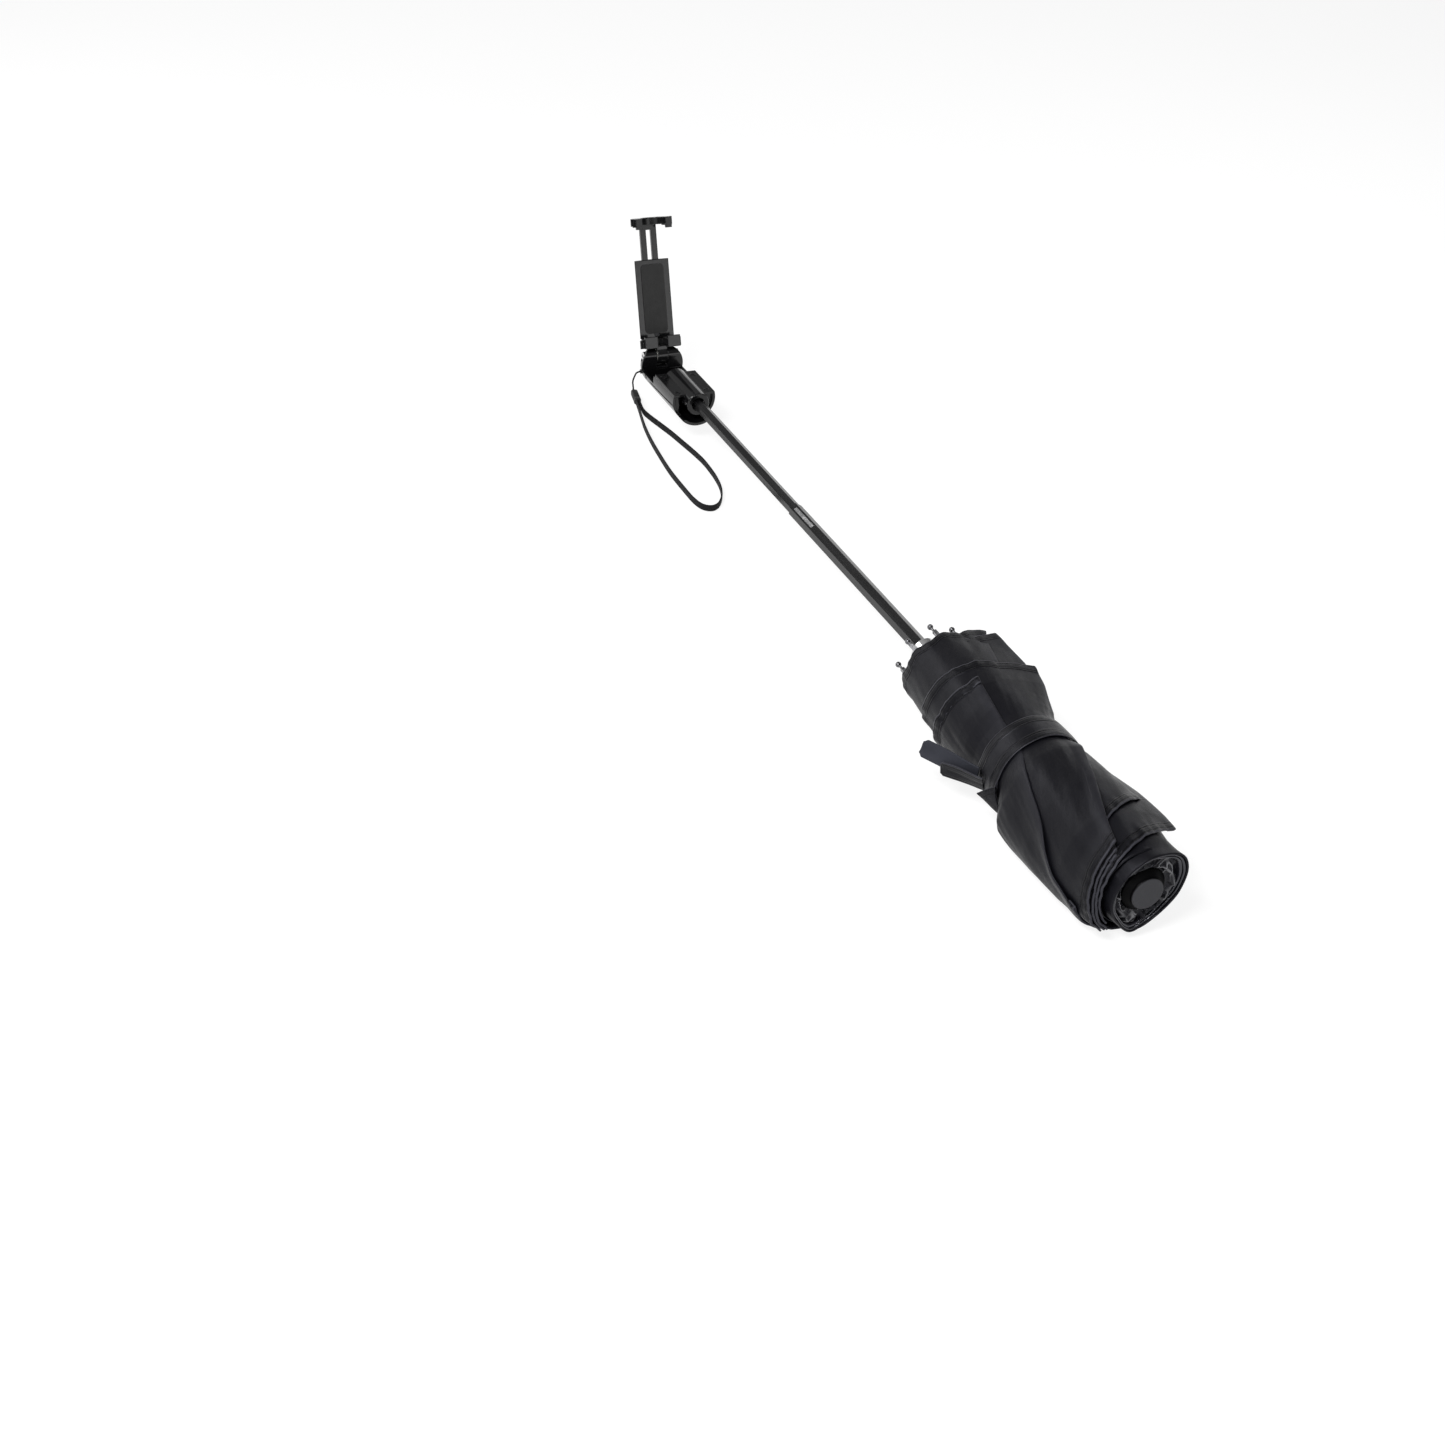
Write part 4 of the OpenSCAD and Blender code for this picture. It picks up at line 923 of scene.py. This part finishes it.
def add_jaw_spring():
    """A copy of the jaw's spring that stands in its place, unchanged; its two ends along the jaw's way are
    found but not moved.
    """
    mesh = frame["nodes"]["jaw_spring"].data.copy()
    obj = bpy.data.objects.new("pressed_spring", mesh)
    bpy.context.scene.collection.objects.link(obj)
    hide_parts("jaw_spring")
    points = np.array([vertex.co for vertex in mesh.vertices])
    height = points @ JAW_WAY
    head, foot = points[height.argmax()], points[height.argmin()]
    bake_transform(obj)


# Floor, light and background

# Radius of the round floor and height of the wall at its edge, in metres
ROOM = 25.0
WALL_HEIGHT = 6.5
WALL_SIDES = 64
# The floor as it is seen: its own glow, and the shaded part that keeps shadows. Then its tone as it lights
# the object
FLOOR_GLOW = 0.84
FLOOR_SHADED = 0.22
FLOOR_TONE = 0.5


def add_floor():
    """The floor, with a low wall far off that carries its pale colour above the horizon."""
    mesh = bpy.data.meshes.new("floor")
    low = FLOOR_Z * MM
    turns = [2 * math.pi * k / WALL_SIDES for k in range(WALL_SIDES)]
    edge = [(ROOM * math.cos(turn), ROOM * math.sin(turn)) for turn in turns]
    points = [(x, y, z) for z in (low, low + WALL_HEIGHT) for x, y in edge]
    ring = [*range(WALL_SIDES), 0]
    wall = [(a, b, WALL_SIDES + b, WALL_SIDES + a) for a, b in zip(ring, ring[1:])]
    mesh.from_pydata(points, [], [tuple(range(WALL_SIDES))] + wall)
    floor = bpy.data.objects.new("floor", mesh)
    bpy.context.scene.collection.objects.link(floor)
    nodes = Nodes("floor")
    ray = nodes.add("ShaderNodeLightPath")
    seen = nodes.math("MAXIMUM", ray.outputs["Is Camera Ray"], ray.outputs["Is Glossy Ray"])
    seen = nodes.math("MAXIMUM", seen, ray.outputs["Is Transmission Ray"])
    glow = nodes.add("ShaderNodeEmission", {"Color": (1, 1, 1, 1), "Strength": FLOOR_GLOW})
    pale = nodes.add("ShaderNodeBsdfDiffuse", {"Color": (FLOOR_SHADED,) * 3 + (1,)})
    shown = nodes.add("ShaderNodeAddShader", {0: glow.outputs[0], 1: pale.outputs[0]})
    plain = nodes.add("ShaderNodeBsdfDiffuse", {"Color": (FLOOR_TONE,) * 3 + (1,)})
    mixed = nodes.add("ShaderNodeMixShader", {0: seen, 1: plain.outputs[0], 2: shown.outputs[0]})
    output = next(node for node in nodes.tree.nodes if node.type == "OUTPUT_MATERIAL")
    nodes.put(output.inputs["Surface"], mixed.outputs[0])
    mesh.materials.append(nodes.material)


# Each lamp: its place, the point that it faces, its width and height in metres, and its watts
LAMPS = {
    "key": ((-0.45, 0.9, 1.2), (0.15, 0, 0), (0.55, 0.4), 19),
    "gloss": ((1.1, 0.8, 0.75), (0.1, 0, 0), (0.7, 0.5), 5),
    "fill": ((-1.48, -0.78, 0.48), (0.5, 0, 0.05), (0.9, 0.6), 2.3),
    "glint_1": ((-1.6, -0.1, 0.4), (0.1, 0, 0), (0.13, 0.1), 1.2),
    "glint_2": ((-1.35, 0.95, 0.25), (0.1, 0, 0), (0.13, 0.1), 1.2),
    "rim": ((0.7, -0.9, 0.9), (0.15, 0, 0), (0.6, 0.35), 3),
}
# The direction in which the room is brightest, and its levels away from there and there
BRIGHT_SIDE = (0.2, 0.75, 0.63)
DIM_LEVEL = 0.03
BRIGHT_LEVEL = 0.42


def add_lamp(name, place, aim, size, watts):
    data = bpy.data.lights.new(name, "AREA")
    data.shape = "RECTANGLE"
    data.size, data.size_y = size
    data.energy = watts
    lamp = bpy.data.objects.new(name, data)
    lamp.location = place
    lamp.rotation_euler = (Vector(aim) - Vector(place)).to_track_quat("-Z", "Y").to_euler()
    bpy.context.scene.collection.objects.link(lamp)


def add_world():
    """A dim room, brighter towards one side and overhead."""
    world = bpy.data.worlds.new("studio")
    world.use_nodes = True
    tree = world.node_tree
    facing = tree.nodes.new("ShaderNodeVectorMath")
    facing.operation = "DOT_PRODUCT"
    facing.inputs[1].default_value = BRIGHT_SIDE
    direction = tree.nodes.new("ShaderNodeTexCoord")
    tree.links.new(direction.outputs["Generated"], facing.inputs[0])
    level = tree.nodes.new("ShaderNodeMapRange")
    level.interpolation_type = "SMOOTHSTEP"
    levels = {"From Min": -0.5, "From Max": 0.9, "To Min": DIM_LEVEL, "To Max": BRIGHT_LEVEL}
    for key, value in levels.items():
        level.inputs[key].default_value = value
    tree.links.new(facing.outputs["Value"], level.inputs["Value"])
    room = tree.nodes["Background"]
    room.inputs["Color"].default_value = (1, 1, 1, 1)
    tree.links.new(level.outputs["Result"], room.inputs["Strength"])
    bpy.context.scene.world = world


def add_light():
    for name, lamp in LAMPS.items():
        add_lamp(name, *lamp)
    add_world()
    bpy.context.scene.view_settings.view_transform = "Standard"


add_camera()
add_wrist_strap()
dress_solids()
add_jaw_spring()
add_canopy()
add_tie_strap()
add_tie_tabs()
add_floor()
add_light()
